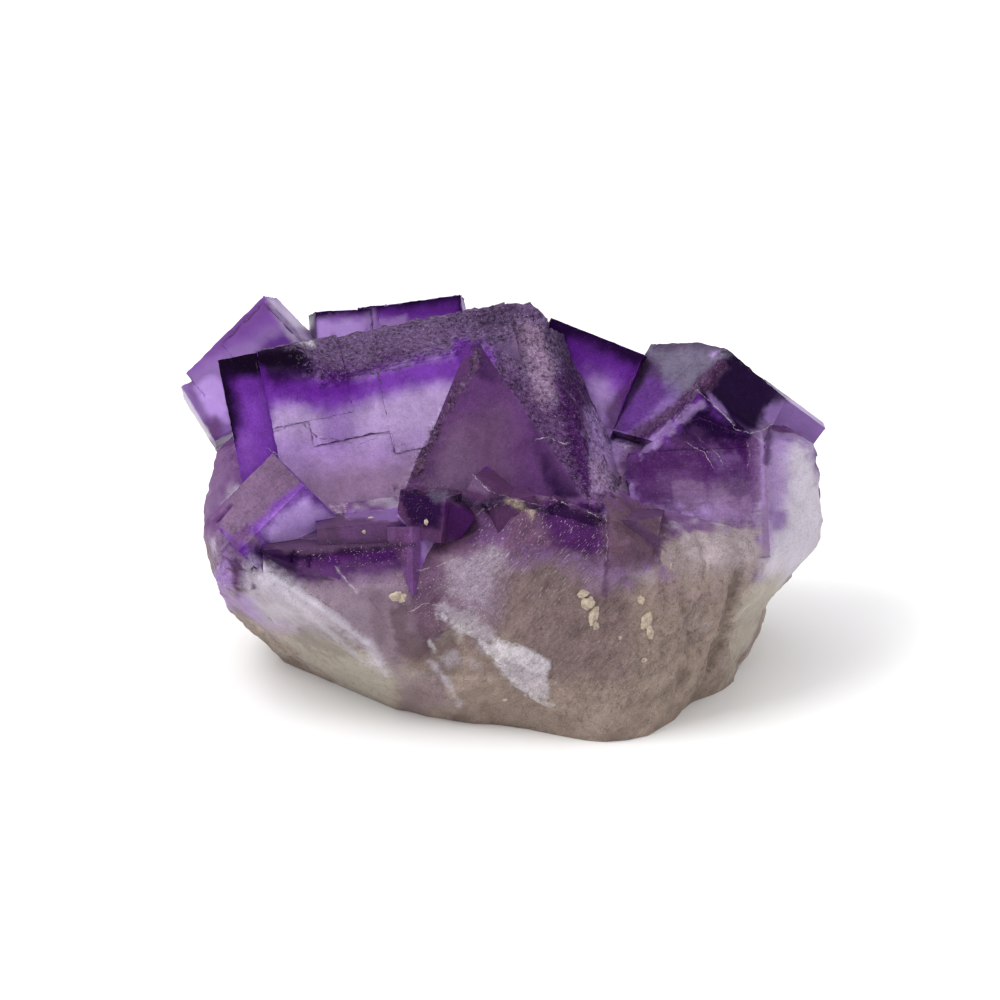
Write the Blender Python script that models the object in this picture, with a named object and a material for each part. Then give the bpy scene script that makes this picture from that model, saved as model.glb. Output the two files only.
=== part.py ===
"""Cubic fluorite cluster: intergrown cubes on a lumpy base, grown as one piece, cut off flat below.

Every crystal is a box with its own size, centre and turn. The base is a group of rounded lumps with flat
cleavage facets. All of them are fused into one solid, which rests on the flat cut under it.
Lengths are in millimetres up to the last step, which writes metres with +Z up.
"""

import math
import random

import bmesh
import bpy
from mathutils import Euler, Matrix, Vector, noise

# Driving dimensions
MM = 0.001  # one millimetre in metres
CUBE = 28.0  # edge of the largest crystal
FLOOR = 0.0  # height of the flat cut under the base
PIT_PITCH = 1.5  # spacing of the pits on the etched faces
PIT_DEPTH = 0.45  # depth of the deepest pit
BASE_CENTRE = Vector((1.0, 5.0, 0.0))  # the upright line that the base is measured from
BASE_MIDDLE = Vector((1.0, 5.0, 12.0))  # the point that its facets are measured from
BASE_SIDES = 60  # points round each level of the base
BASE_LEVELS = 22  # levels of the base
SWELL_WIDTH = 7.0  # width of the swellings on the base
SWELL_HEIGHT = 1.1  # height of the swellings on the base
BLOCK = 200.0  # side of the block that cuts the base flat

# Crystals: centre, size and turn (degrees about X, then Y, then Z)
CRYSTALS = {
    "main_cube": ((-10.6, 7.7, 24.4), (CUBE, 24.0, CUBE), (-19, -10, 7)),
    "main_slab": ((-24.8, 7.0, 25.8), (9.0, 22.0, 20.0), (-19, -10, 6)),
    "corner_cube": ((0.7, 0.6, 24.8), (22.0, 17.0, 24.0), (-32, -30, -8)),
    "back_right": ((8.0, 10.9, 26.5), (11.2, 13.0, 20.0), (-24, 17, -17)),
    "dark_cube": ((21.7, 5.9, 29.4), (11.5, 11.5, 12.4), (-6, 41, 37)),
    "right_diamond": ((21.3, 3.2, 25.9), (9.5, 14.0, 13.0), (-12, 39, -9)),
    "right_body": ((21.6, 0.7, 19.6), (15.0, 16.0, 12.0), (-27, -2, 1)),
    "far_right_top": ((30.4, 16.5, 22.8), (8.5, 11.0, 10.0), (-19, 34, -14)),
    "back_left": ((-26.3, 18.7, 29.9), (12.6, 11.0, 12.0), (-26, -43, 13)),
    "back_a": ((-17.8, 20.0, 30.0), (6.4, 9.0, 13.0), (-20, -1, 8)),
    "back_b": ((-8.1, 19.8, 31.3), (9.5, 9.0, 13.0), (-20, -8, 0)),
    "front_left": ((-24.2, -8.3, 22.0), (8.0, 7.6, 10.0), (16, 46, 41)),
    "ledge_low": ((-17.4, -11.5, 17.8), (16.2, 9.0, 6.6), (-8, -1, 3)),
    "ledge_high": ((-14.3, -10.5, 18.7), (10.5, 8.0, 9.0), (-8, -4, 4)),
    "ledge_end": ((-8.8, -14.0, 19.6), (3.6, 6.0, 7.4), (-15, -13, -37)),
    "nub_a": ((-27.4, -9.5, 19.7), (4.5, 4.0, 3.5), (-6, -41, 2)),
    "nub_b": ((-27.3, -10.7, 19.8), (3.5, 4.0, 3.0), (-9, 26, -17)),
    "nub_c": ((-27.8, -9.3, 17.1), (4.0, 5.0, 4.0), (-17, 10, -16)),
    "mid_a": ((-7.7, -12.1, 24.2), (5.3, 6.0, 5.0), (-14, 4, -17)),
    "mid_b": ((-5.7, -11.6, 23.5), (3.6, 5.0, 4.4), (-3, 35, 10)),
    "mid_c": ((-0.4, -10.5, 26.1), (5.4, 5.0, 2.2), (-7, 28, -18)),
    "mid_d": ((7.7, -12.9, 23.2), (5.8, 6.0, 5.0), (-13, 16, -16)),
    "mid_e": ((1.1, -11.3, 24.3), (4.8, 6.0, 4.0), (-6, -7, 15)),
    "mid_f": ((14.6, -11.7, 21.2), (5.4, 7.0, 5.5), (-9, 2, -7)),
    "ridge": ((0.3, 7.8, 36.3), (10.0, 9.0, 9.0), (-29, 0, -6)),
    "back_left_low": ((-30.9, 17.2, 26.8), (7.4, 9.0, 7.4), (-46, 49, -36)),
    "main_upper": ((-21.8, 8.4, 32.3), (9.0, 22.0, 8.6), (-19, -10, 7)),
    "back_gap": ((-13.7, 20.0, 31.1), (3.5, 7.0, 12.0), (-20, -6, 2)),
    # the far side
    "rear_a": ((-17.0, 21.5, 17.0), (13.0, 12.0, 13.0), (12, 24, 20)),
    "rear_b": ((2.0, 21.0, 22.0), (12.0, 11.0, 12.0), (-24, 18, 40)),
    "rear_c": ((14.0, 20.5, 20.0), (10.0, 10.0, 11.0), (20, -30, 15)),
    "rear_d": ((-4.0, 24.0, 13.0), (9.0, 8.0, 8.0), (30, 10, -25)),
    "rear_e": ((24.0, 21.0, 16.0), (9.0, 9.0, 9.0), (10, 38, -12)),
}

# Corners broken or bevelled off: crystal, corner (sign on each axis), distance cut from it along each edge
CHIPS = (
    ("main_cube", (1, -1, 1), (400.0, 7.5, 4.4)),
    ("main_upper", (1, -1, 1), (5.5, 7.5, 4.4)),
    ("corner_cube", (1, -1, 1), (6.2, 7.3, 28.3)),
    ("ledge_low", (-1, -1, -1), (15.5, 7.0, 6.2)),
    ("ledge_end", (-1, -1, -1), (3.4, 40.0, 6.0)),
    ("mid_a", (-1, -1, -1), (3.0, 2.5, 2.4)),
    ("mid_f", (1, -1, 1), (2.6, 3.0, 1.6)),
    ("mid_d", (-1, -1, 1), (1.2, 2.0, 1.6)),
    ("dark_cube", (-1, -1, -1), (2.5, 2.5, 2.5)),
    ("dark_cube", (-1, 1, 1), (2.7, 6.7, 1.4)),
    ("ridge", (-1, -1, 1), (6.0, 40.0, 1.3)),
    ("ridge", (1, -1, 1), (1.8, 40.0, 1.5)),
)

# Growth steps: crystal, the axis and side of the face, its reach along the other two axes, and its rise
STEPS = (
    ("main_cube", 1, -1, (-10.0, -1.5), (2.7, 9.3), 0.16),
    ("main_cube", 1, -1, (-1.6, 12.0), (0.2, 9.2), 0.2),
    ("back_left", 1, -1, (-1.0, 5.7), (-4.0, 5.4), 0.15),
    ("rear_a", 1, 1, (-5.8, 2.0), (-5.0, 3.5), 0.25),
    ("rear_b", 1, 1, (-2.0, 5.4), (-3.0, 5.3), 0.25),
    ("rear_c", 1, 1, (-4.3, 3.0), (-2.0, 4.9), 0.2),
)

# Faces etched into small pits: crystal and the direction, in its own axes, that the faces look in
ETCHED = (
    ("main_cube", (0.0, -0.3, 1.0)),
    ("main_upper", (0.6, -0.5, 0.62)),
    ("corner_cube", (0.7, -0.6, 0.2)),
    ("ridge", (0.0, -0.7, 0.7)),
)

# Base: reach from its centre line at each height, every 30 degrees from +X turning towards +Y
BASE_REACH = (
    (-1.0, (26.3, 29.0, 24.0, 22.0, 24.0, 26.5, 25.0, 18.8, 17.0, 17.8, 25.0, 23.0)),
    (4.0, (28.4, 30.5, 25.0, 23.0, 24.5, 28.5, 29.0, 24.0, 20.5, 20.5, 26.0, 25.0)),
    (8.0, (28.6, 31.0, 25.2, 23.5, 25.0, 30.0, 32.2, 28.5, 23.5, 22.0, 26.0, 26.5)),
    (12.5, (32.0, 31.5, 25.5, 23.5, 25.0, 30.0, 32.8, 31.5, 25.8, 23.2, 26.0, 29.5)),
    (17.0, (34.6, 31.5, 26.0, 23.5, 25.0, 30.0, 33.0, 33.5, 26.0, 22.8, 25.0, 31.0)),
    (21.0, (34.6, 30.5, 24.5, 22.5, 23.5, 28.5, 34.4, 29.8, 22.4, 22.6, 25.4, 26.5)),
    (23.2, (34.2, 29.0, 22.0, 20.0, 21.0, 26.5, 33.6, 21.0, 14.0, 20.8, 24.6, 18.0)),
    (25.5, (33.3, 26.0, 18.0, 17.0, 18.0, 24.0, 32.4, 15.0, 7.0, 17.4, 20.0, 11.0)),
    (27.0, (26.0, 18.0, 9.0, 9.0, 11.0, 15.0, 29.0, 9.0, 5.0, 8.0, 7.0, 5.0)),
)

# Flat cleavage facets of the base: the way each looks (degrees round, degrees up), and how far out it is
FACETS = (
    (223, -40, 21.7),
    (262, -12, 22.9),
    (298, 8, 27.1),
    (330, -12, 29.8),
    (352, -30, 28.2),
    (30, 6, 31.8),
    (62, -16, 26.8),
    (95, 4, 23.2),
    (130, -10, 27.2),
    (160, 8, 32.0),
)

# Small crystals scattered over the far side and the ends of the base
SCATTER_SEED = 11
SCATTER_COUNT = 22
SCATTER_TURN = (28.0, 152.0)  # degrees round the base, from +X
SCATTER_LEVEL = (2.3, 6.2)  # levels of the base, as rows of BASE_REACH
SCATTER_SIZE = (2.6, 6.0)


def box(size):
    """A closed box of this size about its own centre."""
    mesh = bmesh.new()
    bmesh.ops.create_cube(mesh, size=1.0, matrix=Matrix.Diagonal((*size, 1.0)))
    return mesh


def cut(mesh, point, normal):
    """Cuts away what lies beyond a plane and closes the body with a flat face."""
    geometry = mesh.verts[:] + mesh.edges[:] + mesh.faces[:]
    done = bmesh.ops.bisect_plane(mesh, geom=geometry, plane_co=point, plane_no=normal, clear_outer=True)
    rim = [item for item in done["geom_cut"] if isinstance(item, bmesh.types.BMEdge)]
    if rim:
        bmesh.ops.edgeloop_fill(mesh, edges=rim)
    bmesh.ops.recalc_face_normals(mesh, faces=mesh.faces[:])


def chip(mesh, size, corner, reach):
    """Cuts one corner of a box off, through a point on each of the three edges that meet there."""
    tip = Vector(size) * 0.5
    tip = Vector([tip[i] * corner[i] for i in range(3)])
    normal = Vector([corner[i] / reach[i] for i in range(3)]).normalized()
    on_plane = tip - Vector((corner[0] * reach[0], 0.0, 0.0))
    cut(mesh, on_plane, normal)


def etch(mesh, facing):
    """Breaks the faces that look this way into small pits, and leaves the others flat."""
    facing = Vector(facing).normalized()
    chosen = [face for face in mesh.faces if face.normal.dot(facing) > 0.7]
    for face in chosen:
        face.material_index = 1
    for face in chosen:
        normal = face.normal.copy()
        across = normal.orthogonal().normalized()
        for along in (across, normal.cross(across)):
            group = [item for item in mesh.faces if item.material_index == 1 and item.normal.dot(normal) > 0.999]
            reach = [vert.co.dot(along) for item in group for vert in item.verts]
            step = min(reach) + PIT_PITCH
            while step < max(reach) - 0.4 * PIT_PITCH:
                split_faces(mesh, normal, along * step, along)
                step += PIT_PITCH
    pitted = {vert for face in mesh.faces if face.material_index == 1 for vert in face.verts}
    rim = [vert for vert in pitted if any(face.material_index == 0 for face in vert.link_faces)]
    close = bmesh.ops.find_doubles(mesh, verts=[*pitted], keep_verts=rim, dist=0.35 * PIT_PITCH)
    bmesh.ops.weld_verts(mesh, targetmap=close["targetmap"])
    mesh.normal_update()
    inner = [vert for vert in mesh.verts if all(face.material_index == 1 for face in vert.link_faces)]
    for vert in inner:
        depth = 0.5 + 1.3 * noise.noise(vert.co / PIT_PITCH)
        vert.co -= vert.normal * depth * PIT_DEPTH


def split_faces(mesh, normal, point, along):
    """Splits the etched faces that share this normal along one line."""
    faces = [face for face in mesh.faces if face.material_index == 1 and face.normal.dot(normal) > 0.999]
    edges = {edge for face in faces for edge in face.edges}
    verts = {vert for face in faces for vert in face.verts}
    bmesh.ops.bisect_plane(mesh, geom=[*verts, *edges, *faces], plane_co=point, plane_no=along)


def looking(around, up):
    """The direction this many degrees round from +X and this many up from level."""
    around, up = math.radians(around), math.radians(up)
    return Vector((math.cos(around) * math.cos(up), math.sin(around) * math.cos(up), math.sin(up)))


def smooth_row(values, at, closed):
    """The value at a fractional place along a row, on a smooth curve through all its values."""
    count = len(values)
    start = math.floor(at)
    part = at - start
    picked = []
    for step in (-1, 0, 1, 2):
        index = start + step
        index = index % count if closed else min(max(index, 0), count - 1)
        picked.append(values[index])
    before, here, after, beyond = picked
    rise = 2.0 * before - 5.0 * here + 4.0 * after - beyond
    bend = 3.0 * here - before - 3.0 * after + beyond
    return here + 0.5 * part * (after - before + part * (rise + part * bend))


def base_point(turn, level):
    """The point of the base at this many degrees round and this level, counted in rows of BASE_REACH."""
    height = smooth_row([row[0] for row in BASE_REACH], level, closed=False)
    directions = len(BASE_REACH[0][1])
    reach = [smooth_row([row[1][i] for row in BASE_REACH], level, closed=False) for i in range(directions)]
    out = looking(turn, 0.0)
    far = smooth_row(reach, turn * directions / 360.0, closed=True)
    point = BASE_CENTRE + out * far + Vector((0.0, 0.0, height))
    return point + out * SWELL_HEIGHT * noise.fractal(point / SWELL_WIDTH, 0.8, 2.1, 4)


def base():
    """The lumpy base, with its cleavage facets."""
    mesh = bmesh.new()
    top = len(BASE_REACH) - 1
    rings = []
    for level in range(BASE_LEVELS):
        row = top * level / (BASE_LEVELS - 1)
        points = [base_point(360.0 * side / BASE_SIDES, row) for side in range(BASE_SIDES)]
        rings.append([mesh.verts.new(point) for point in points])
    for low, high in zip(rings, rings[1:]):
        for side in range(BASE_SIDES):
            after = (side + 1) % BASE_SIDES
            mesh.faces.new((low[side], low[after], high[after], high[side]))
    mesh.faces.new(rings[0][::-1])
    mesh.faces.new(rings[-1])
    bmesh.ops.triangulate(mesh, faces=mesh.faces[:])
    for around, up, reach in FACETS:
        normal = looking(around, up)
        cut(mesh, BASE_MIDDLE + normal * reach, normal)
    return mesh


def growth_step(name, axis, side, first, second, rise):
    """A thin box on one face of a crystal, as its last layers of growth left it."""
    depth = 1.0 + rise
    spans = [first, second]
    spans.insert(axis, (-0.5 * depth, 0.5 * depth))
    middle = Vector([0.5 * (low + high) for low, high in spans])
    size = Vector([high - low for low, high in spans])
    middle[axis] = side * (0.5 * CRYSTALS[name][1][axis] + rise - 0.5 * depth)
    mesh = box(size)
    mesh.transform(Matrix.Translation(middle))
    return mesh


def helper(name, mesh, place, group):
    """Puts a mesh in the scene as a hidden helper in the group that is fused."""
    data = bpy.data.meshes.new(name)
    mesh.transform(place)
    mesh.transform(Matrix.Scale(MM, 4))
    mesh.to_mesh(data)
    mesh.free()
    piece = bpy.data.objects.new(name, data)
    piece.hide_render = True
    piece.display_type = "WIRE"
    group.objects.link(piece)
    return piece


def place_at(centre, turn=(0, 0, 0)):
    """The transform that turns a piece and moves it to its centre."""
    angles = Euler([math.radians(angle) for angle in turn])
    return Matrix.Translation(centre) @ angles.to_matrix().to_4x4()


def crystals(group):
    """All cubes, with their broken corners and etched faces."""
    for name, (centre, size, turn) in CRYSTALS.items():
        mesh = box(size)
        for owner, corner, reach in CHIPS:
            if owner == name:
                chip(mesh, size, corner, reach)
        for owner, facing in ETCHED:
            if owner == name:
                etch(mesh, facing)
        helper(name, mesh, place_at(centre, turn), group)


def scattered_crystals(group):
    """Small cubes half sunk in the far side and the ends of the base."""
    chance = random.Random(SCATTER_SEED)
    for index in range(SCATTER_COUNT):
        turn = chance.uniform(*SCATTER_TURN)
        centre = base_point(turn, chance.uniform(*SCATTER_LEVEL))
        edge = chance.uniform(*SCATTER_SIZE)
        size = [edge * chance.uniform(0.8, 1.1) for _ in range(3)]
        inward = looking(turn, 0.0) * 0.2 * edge
        turns = (chance.uniform(-35, 35), chance.uniform(-35, 35), turn + chance.uniform(-40, 40))
        helper(f"scattered_{index}", box(size), place_at(centre - inward, turns), group)


def growth_steps(group):
    """The thin layers that stand on the crystal faces."""
    for index, (name, axis, side, first, second, rise) in enumerate(STEPS):
        centre, _, turn = CRYSTALS[name]
        mesh = growth_step(name, axis, side, first, second, rise)
        helper(f"step_{index}", mesh, place_at(centre, turn), group)


def drop_trapped_hollows(data):
    """Deletes every shell but the largest, such as the hollows left between pieces that touch."""
    mesh = bmesh.new()
    mesh.from_mesh(data)
    left = set(mesh.verts)
    shells = []
    while left:
        shell = set()
        reached = [left.pop()]
        while reached:
            vert = reached.pop()
            shell.add(vert)
            for edge in vert.link_edges:
                other = edge.other_vert(vert)
                if other in left:
                    left.remove(other)
                    reached.append(other)
        shells.append(shell)
    shells.sort(key=len)
    spare = [vert for shell in shells[:-1] for vert in shell]
    bmesh.ops.delete(mesh, geom=spare, context="VERTS")
    mesh.to_mesh(data)
    mesh.free()


def stand_on_origin(data):
    """Moves the solid so that the origin is under its middle, on the flat cut."""
    lowest = [min(vert.co[axis] for vert in data.vertices) for axis in range(3)]
    highest = [max(vert.co[axis] for vert in data.vertices) for axis in range(3)]
    middle = [0.5 * (lowest[axis] + highest[axis]) for axis in range(2)]
    data.transform(Matrix.Translation((-middle[0], -middle[1], -lowest[2])))


def fluorite_material():
    """Purple fluorite, clear to milky."""
    material = bpy.data.materials.new("fluorite")
    shader = material.node_tree.nodes.get("Principled BSDF") if material.use_nodes else None
    if shader is None:
        material.use_nodes = True
        shader = material.node_tree.nodes["Principled BSDF"]
    shader.inputs["Base Color"].default_value = (0.21, 0.11, 0.30, 1.0)
    shader.inputs["Roughness"].default_value = 0.3
    shader.inputs["IOR"].default_value = 1.434
    shader.inputs["Transmission Weight"].default_value = 0.5
    return material


def boolean(body, operation, **operand):
    """Adds an exact Boolean to a body."""
    modifier = body.modifiers.new(operation.lower(), "BOOLEAN")
    modifier.operation = operation
    modifier.solver = "EXACT"
    for key, value in operand.items():
        setattr(modifier, key, value)


def clear_scene():
    """Removes whatever the open file holds."""
    for old in list(bpy.data.objects):
        bpy.data.objects.remove(old, do_unlink=True)


def main():
    clear_scene()
    scene = bpy.context.scene.collection
    group = bpy.data.collections.new("fused_pieces")
    scene.children.link(group)
    crystals(group)
    growth_steps(group)
    scattered_crystals(group)
    first = helper("base", base(), Matrix.Identity(4), scene)
    boolean(first, "UNION", operand_type="COLLECTION", collection=group)
    block = helper("floor_cut", box((BLOCK, BLOCK, BLOCK)), place_at((0, 0, FLOOR - BLOCK / 2)), scene)
    boolean(first, "DIFFERENCE", object=block)

    view = bpy.context.evaluated_depsgraph_get()
    fused = bpy.data.meshes.new_from_object(first.evaluated_get(view))
    body = bpy.data.objects.new("fluorite_cluster", fused)
    scene.objects.link(body)
    for piece in [*group.objects, first, block]:
        bpy.data.objects.remove(piece, do_unlink=True)
    drop_trapped_hollows(fused)
    stand_on_origin(fused)
    fused.materials.clear()
    fused.materials.append(fluorite_material())


main()
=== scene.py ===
"""Looks of the cubic fluorite cluster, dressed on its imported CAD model.

One dense closed mesh stands for the CAD solid. It keeps the solid's flat crystal faces and its edges, and
adds pits, chips, grooves and rocky relief too fine for the solid. Each corner of the mesh carries the local
tint and finish. On the sides and the back they come from the crystals' own faces and edges. The front is
painted over with strokes laid out in the camera's view, which fade out where the surface turns away.
One node material reads the corners' values and adds the grain.
Lengths are in millimetres in the model's design frame; SHIFT and MM turn them into the row frame in metres.
"""

import math

import bmesh
import bpy
import numpy as np
from mathutils import Euler, Matrix, Vector, noise
from mathutils.bvhtree import BVHTree


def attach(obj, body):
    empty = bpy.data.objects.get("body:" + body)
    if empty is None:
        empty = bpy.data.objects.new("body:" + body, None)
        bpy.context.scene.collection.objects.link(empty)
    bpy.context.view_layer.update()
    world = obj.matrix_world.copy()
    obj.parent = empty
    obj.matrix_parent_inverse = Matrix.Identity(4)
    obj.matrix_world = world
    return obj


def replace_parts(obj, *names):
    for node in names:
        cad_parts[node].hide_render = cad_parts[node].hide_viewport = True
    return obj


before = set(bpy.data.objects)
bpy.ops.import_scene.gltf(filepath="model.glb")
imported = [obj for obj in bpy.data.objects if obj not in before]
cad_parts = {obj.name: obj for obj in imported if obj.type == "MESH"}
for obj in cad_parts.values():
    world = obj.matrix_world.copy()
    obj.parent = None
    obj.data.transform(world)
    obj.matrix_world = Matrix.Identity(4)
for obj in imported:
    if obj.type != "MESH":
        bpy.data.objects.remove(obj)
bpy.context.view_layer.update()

MM = 0.001  # one millimetre in metres
SHIFT = np.array((-0.464, -6.412, 0.0))  # from the design frame to the row frame

# -------- camera and mesh density

# The camera looks down at the cluster from the front
ELEVATION = math.radians(20.0)
DISTANCE = 500.0  # from the camera to the point that it looks at
AIM = np.array((0.0, 0.0, 21.4))  # that point
SENSOR = 36.0  # width of the camera's sensor
FIELD = 110.0  # width of the view at that point
VIEW_SIZE = 1000  # pixels across the view
PIXEL = FIELD / VIEW_SIZE  # one pixel of the view at that point
VIEW_RIGHT = np.array((1.0, 0.0, 0.0))
VIEW_UP = np.array((0.0, math.sin(ELEVATION), math.cos(ELEVATION)))
VIEW_BACK = np.array((0.0, -math.cos(ELEVATION), math.sin(ELEVATION)))
VIEW = Vector(VIEW_BACK)

# Longest edges at crisp borders of the painting, on other surfaces that face the camera, and on the rest
CRISP = 0.42
FINE = 0.84
COARSE = 1.25
FIRST_REACH = 16.0  # edges are halved from this length down
FACING_FINE = -0.05  # how far a surface must face the camera, as a cosine, to be fine
FACING_CRISP = 0.03  # and to have crisp borders
SOFTEST = 5  # strokes with a softer edge than this, in pixels, need no finer mesh
MAP_STEP = 4  # pixels between the places where crisp borders are looked up
MARK_MARGIN = 1.5 * MAP_STEP  # how far from a thin mark the mesh is still crisp
SLIVER = 0.004  # triangles smaller than this, in square millimetres, aren't split
WELD = 0.001  # vertices nearer than this are one
FLAT = 0.9998  # cosine between neighbouring triangles of one flat face
RIM_TURN = 0.45  # outward edges that turn by more than this, in radians, are rims of a face
BASE_RIMS = 3  # the rims of a face of the base don't count when there are fewer
SHARP = math.radians(32.0)  # edges that turn by more than this stay sharp
FAR = 99.0  # distance where there is nothing near

# -------- crystals

# Centre, size and turn (degrees about X, then Y, then Z)
CRYSTALS = {
    "main_cube": ((-10.6, 7.7, 24.4), (28.0, 24.0, 28.0), (-19, -10, 7)),
    "main_slab": ((-24.8, 7.0, 25.8), (9.0, 22.0, 20.0), (-19, -10, 6)),
    "corner_cube": ((0.7, 0.6, 24.8), (22.0, 17.0, 24.0), (-32, -30, -8)),
    "back_right": ((8.0, 10.9, 26.5), (11.2, 13.0, 20.0), (-24, 17, -17)),
    "dark_cube": ((21.7, 5.9, 29.4), (11.5, 11.5, 12.4), (-6, 41, 37)),
    "right_diamond": ((21.3, 3.2, 25.9), (9.5, 14.0, 13.0), (-12, 39, -9)),
    "right_body": ((21.6, 0.7, 19.6), (15.0, 16.0, 12.0), (-27, -2, 1)),
    "far_right_top": ((30.4, 16.5, 22.8), (8.5, 11.0, 10.0), (-19, 34, -14)),
    "back_left": ((-26.3, 18.7, 29.9), (12.6, 11.0, 12.0), (-26, -43, 13)),
    "back_a": ((-17.8, 20.0, 30.0), (6.4, 9.0, 13.0), (-20, -1, 8)),
    "back_b": ((-8.1, 19.8, 31.3), (9.5, 9.0, 13.0), (-20, -8, 0)),
    "front_left": ((-24.2, -8.3, 22.0), (8.0, 7.6, 10.0), (16, 46, 41)),
    "ledge_low": ((-17.4, -11.5, 17.8), (16.2, 9.0, 6.6), (-8, -1, 3)),
    "ledge_high": ((-14.3, -10.5, 18.7), (10.5, 8.0, 9.0), (-8, -4, 4)),
    "ledge_end": ((-8.8, -14.0, 19.6), (3.6, 6.0, 7.4), (-15, -13, -37)),
    "nub_a": ((-27.4, -9.5, 19.7), (4.5, 4.0, 3.5), (-6, -41, 2)),
    "nub_b": ((-27.3, -10.7, 19.8), (3.5, 4.0, 3.0), (-9, 26, -17)),
    "nub_c": ((-27.8, -9.3, 17.1), (4.0, 5.0, 4.0), (-17, 10, -16)),
    "mid_a": ((-7.7, -12.1, 24.2), (5.3, 6.0, 5.0), (-14, 4, -17)),
    "mid_b": ((-5.7, -11.6, 23.5), (3.6, 5.0, 4.4), (-3, 35, 10)),
    "mid_c": ((-0.4, -10.5, 26.1), (5.4, 5.0, 2.2), (-7, 28, -18)),
    "mid_d": ((7.7, -12.9, 23.2), (5.8, 6.0, 5.0), (-13, 16, -16)),
    "mid_e": ((1.1, -11.3, 24.3), (4.8, 6.0, 4.0), (-6, -7, 15)),
    "mid_f": ((14.6, -11.7, 21.2), (5.4, 7.0, 5.5), (-9, 2, -7)),
    "ridge": ((0.3, 7.8, 36.3), (10.0, 9.0, 9.0), (-29, 0, -6)),
    "back_left_low": ((-30.9, 17.2, 26.8), (7.4, 9.0, 7.4), (-46, 49, -36)),
    "main_upper": ((-21.8, 8.4, 32.3), (9.0, 22.0, 8.6), (-19, -10, 7)),
    "back_gap": ((-13.7, 20.0, 31.1), (3.5, 7.0, 12.0), (-20, -6, 2)),
    "rear_a": ((-17.0, 21.5, 17.0), (13.0, 12.0, 13.0), (12, 24, 20)),
    "rear_b": ((2.0, 21.0, 22.0), (12.0, 11.0, 12.0), (-24, 18, 40)),
    "rear_c": ((14.0, 20.5, 20.0), (10.0, 10.0, 11.0), (20, -30, 15)),
    "rear_d": ((-4.0, 24.0, 13.0), (9.0, 8.0, 8.0), (30, 10, -25)),
    "rear_e": ((24.0, 21.0, 16.0), (9.0, 9.0, 9.0), (10, 38, -12)),
}

BASE = -1  # in place of a crystal's number, on the base
TOP_SIDE = 5  # number of a crystal's upper face
ETCHED_SIDE = 6  # number of an etched face
FACE_GAP = 0.34  # how far a CAD face may stand from a crystal's own face, for its growth steps
FACE_ALIGNED = 0.995  # cosine between the two
FACE_REACH = 0.05  # how far a face may reach past its crystal's box
ETCH_REACH = 0.1  # the same for a pitted face
ETCH_ALIGNED = 0.1  # cosine between a pitted face and the way that its crystal's etched face looks

# Etched faces: the way they look in their crystal's axes, how far a pitted face may lie under the crystal's
# own face, and whether the whole upper face is etched
ETCHED = {
    "main_cube": ((0.0, -0.3, 1.0), 2.2, True),
    "main_upper": ((0.6, -0.5, 0.62), 2.2, True),
    "corner_cube": ((0.7, -0.6, 0.2), math.inf, False),
    "ridge": ((0.0, -0.7, 0.7), 2.2, True),
}
ROOF_HEIGHT = 27.0  # above this, what belongs to no crystal's face is a pit wall
ROOF_REACH = (-22.0, 8.0)  # from left to right, the part of the top where such walls are
ROOF_FACING = 0.4  # how far up a face looks that may be a part of a pit
SMALL_FACE = 3.0  # flat faces on the top with less than this, in square millimetres, are parts of pits

# A smooth round body like the base, for how the base's front fades into its sides
BASE_MIDDLE = np.array((0.0, 4.0, 18.0))
BASE_HALF = np.array((36.0, 25.0, 26.0))

# -------- colours and strokes

# Colours, as red, green and blue from 0 to 255
COLOURS = {
    "ink": (14, 3, 22),
    "night": (28, 3, 46),
    "plum": (60, 18, 76),
    "indigo": (82, 26, 122),
    "violet": (104, 52, 146),
    "bright": (124, 76, 160),
    "orchid": (134, 104, 160),
    "lilac": (166, 136, 190),
    "frost": (200, 193, 204),
    "rose": (148, 122, 150),
    "mauve": (96, 62, 108),
    "damson": (76, 46, 80),
    "mulberry": (79, 46, 91),
    "milk": (208, 176, 240),
    "dusk": (80, 56, 84),
    "etched": (94, 73, 107),
    "grey": (104, 96, 118),
    "slate": (62, 46, 74),
    "heather": (122, 97, 130),
    "taupe": (116, 99, 97),
    "beige": (150, 135, 136),
    "ash": (134, 115, 130),
    "umber": (84, 66, 74),
    "wine": (90, 63, 86),
    "clay": (148, 132, 122),
    "olive": (176, 168, 156),
    "moss": (98, 86, 78),
    "rust": (92, 64, 50),
    "cream": (190, 174, 150),
    "white": (215, 208, 214),
}

# Groups of crystals that a stroke keeps to
GROUPS = {
    "main": ("main_cube", "main_upper"),
    "slab": ("main_slab",),
    "corner": ("corner_cube",),
    "roof": ("main_cube", "main_upper", "main_slab", "ridge", "corner_cube"),
    "back": ("back_right",),
    "dark": ("dark_cube", "right_diamond"),
    "diamond": ("right_diamond",),
    "right": ("dark_cube", "right_diamond", "right_body"),
    "left": ("back_left", "back_left_low"),
    "row": ("back_a", "back_b", "back_gap"),
    "first": ("front_left",),
    "nubs": ("nub_a", "nub_b", "nub_c"),
    "ledge": ("ledge_low", "ledge_high", "ledge_end"),
    "low": ("ledge_low",),
    "end": ("ledge_end",),
    "middle": ("mid_a", "mid_b", "mid_c", "mid_d", "mid_e", "mid_f"),
    "base": (),
}

# The rough crust that hangs over the top of the main cube's front
CRUST = "284,350 297,358 305,370 322,383 345,379 371,368 404,360 449,352 482,345 484,330 400,320 300,335"
# The rough seam between the main cube and the corner cube
SEAM = "478,352 468,376 450,404 436,430 424,452 416,476"
# The pale cleavage flake low on the front, and the ragged white streak that runs down to it
FLAKE = "484,646 499,638 530,651 550,661 546,674 553,700 540,697 524,688 508,672"
STREAK = "443,616 462,628 485,644 506,672 532,694 556,706"
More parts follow.
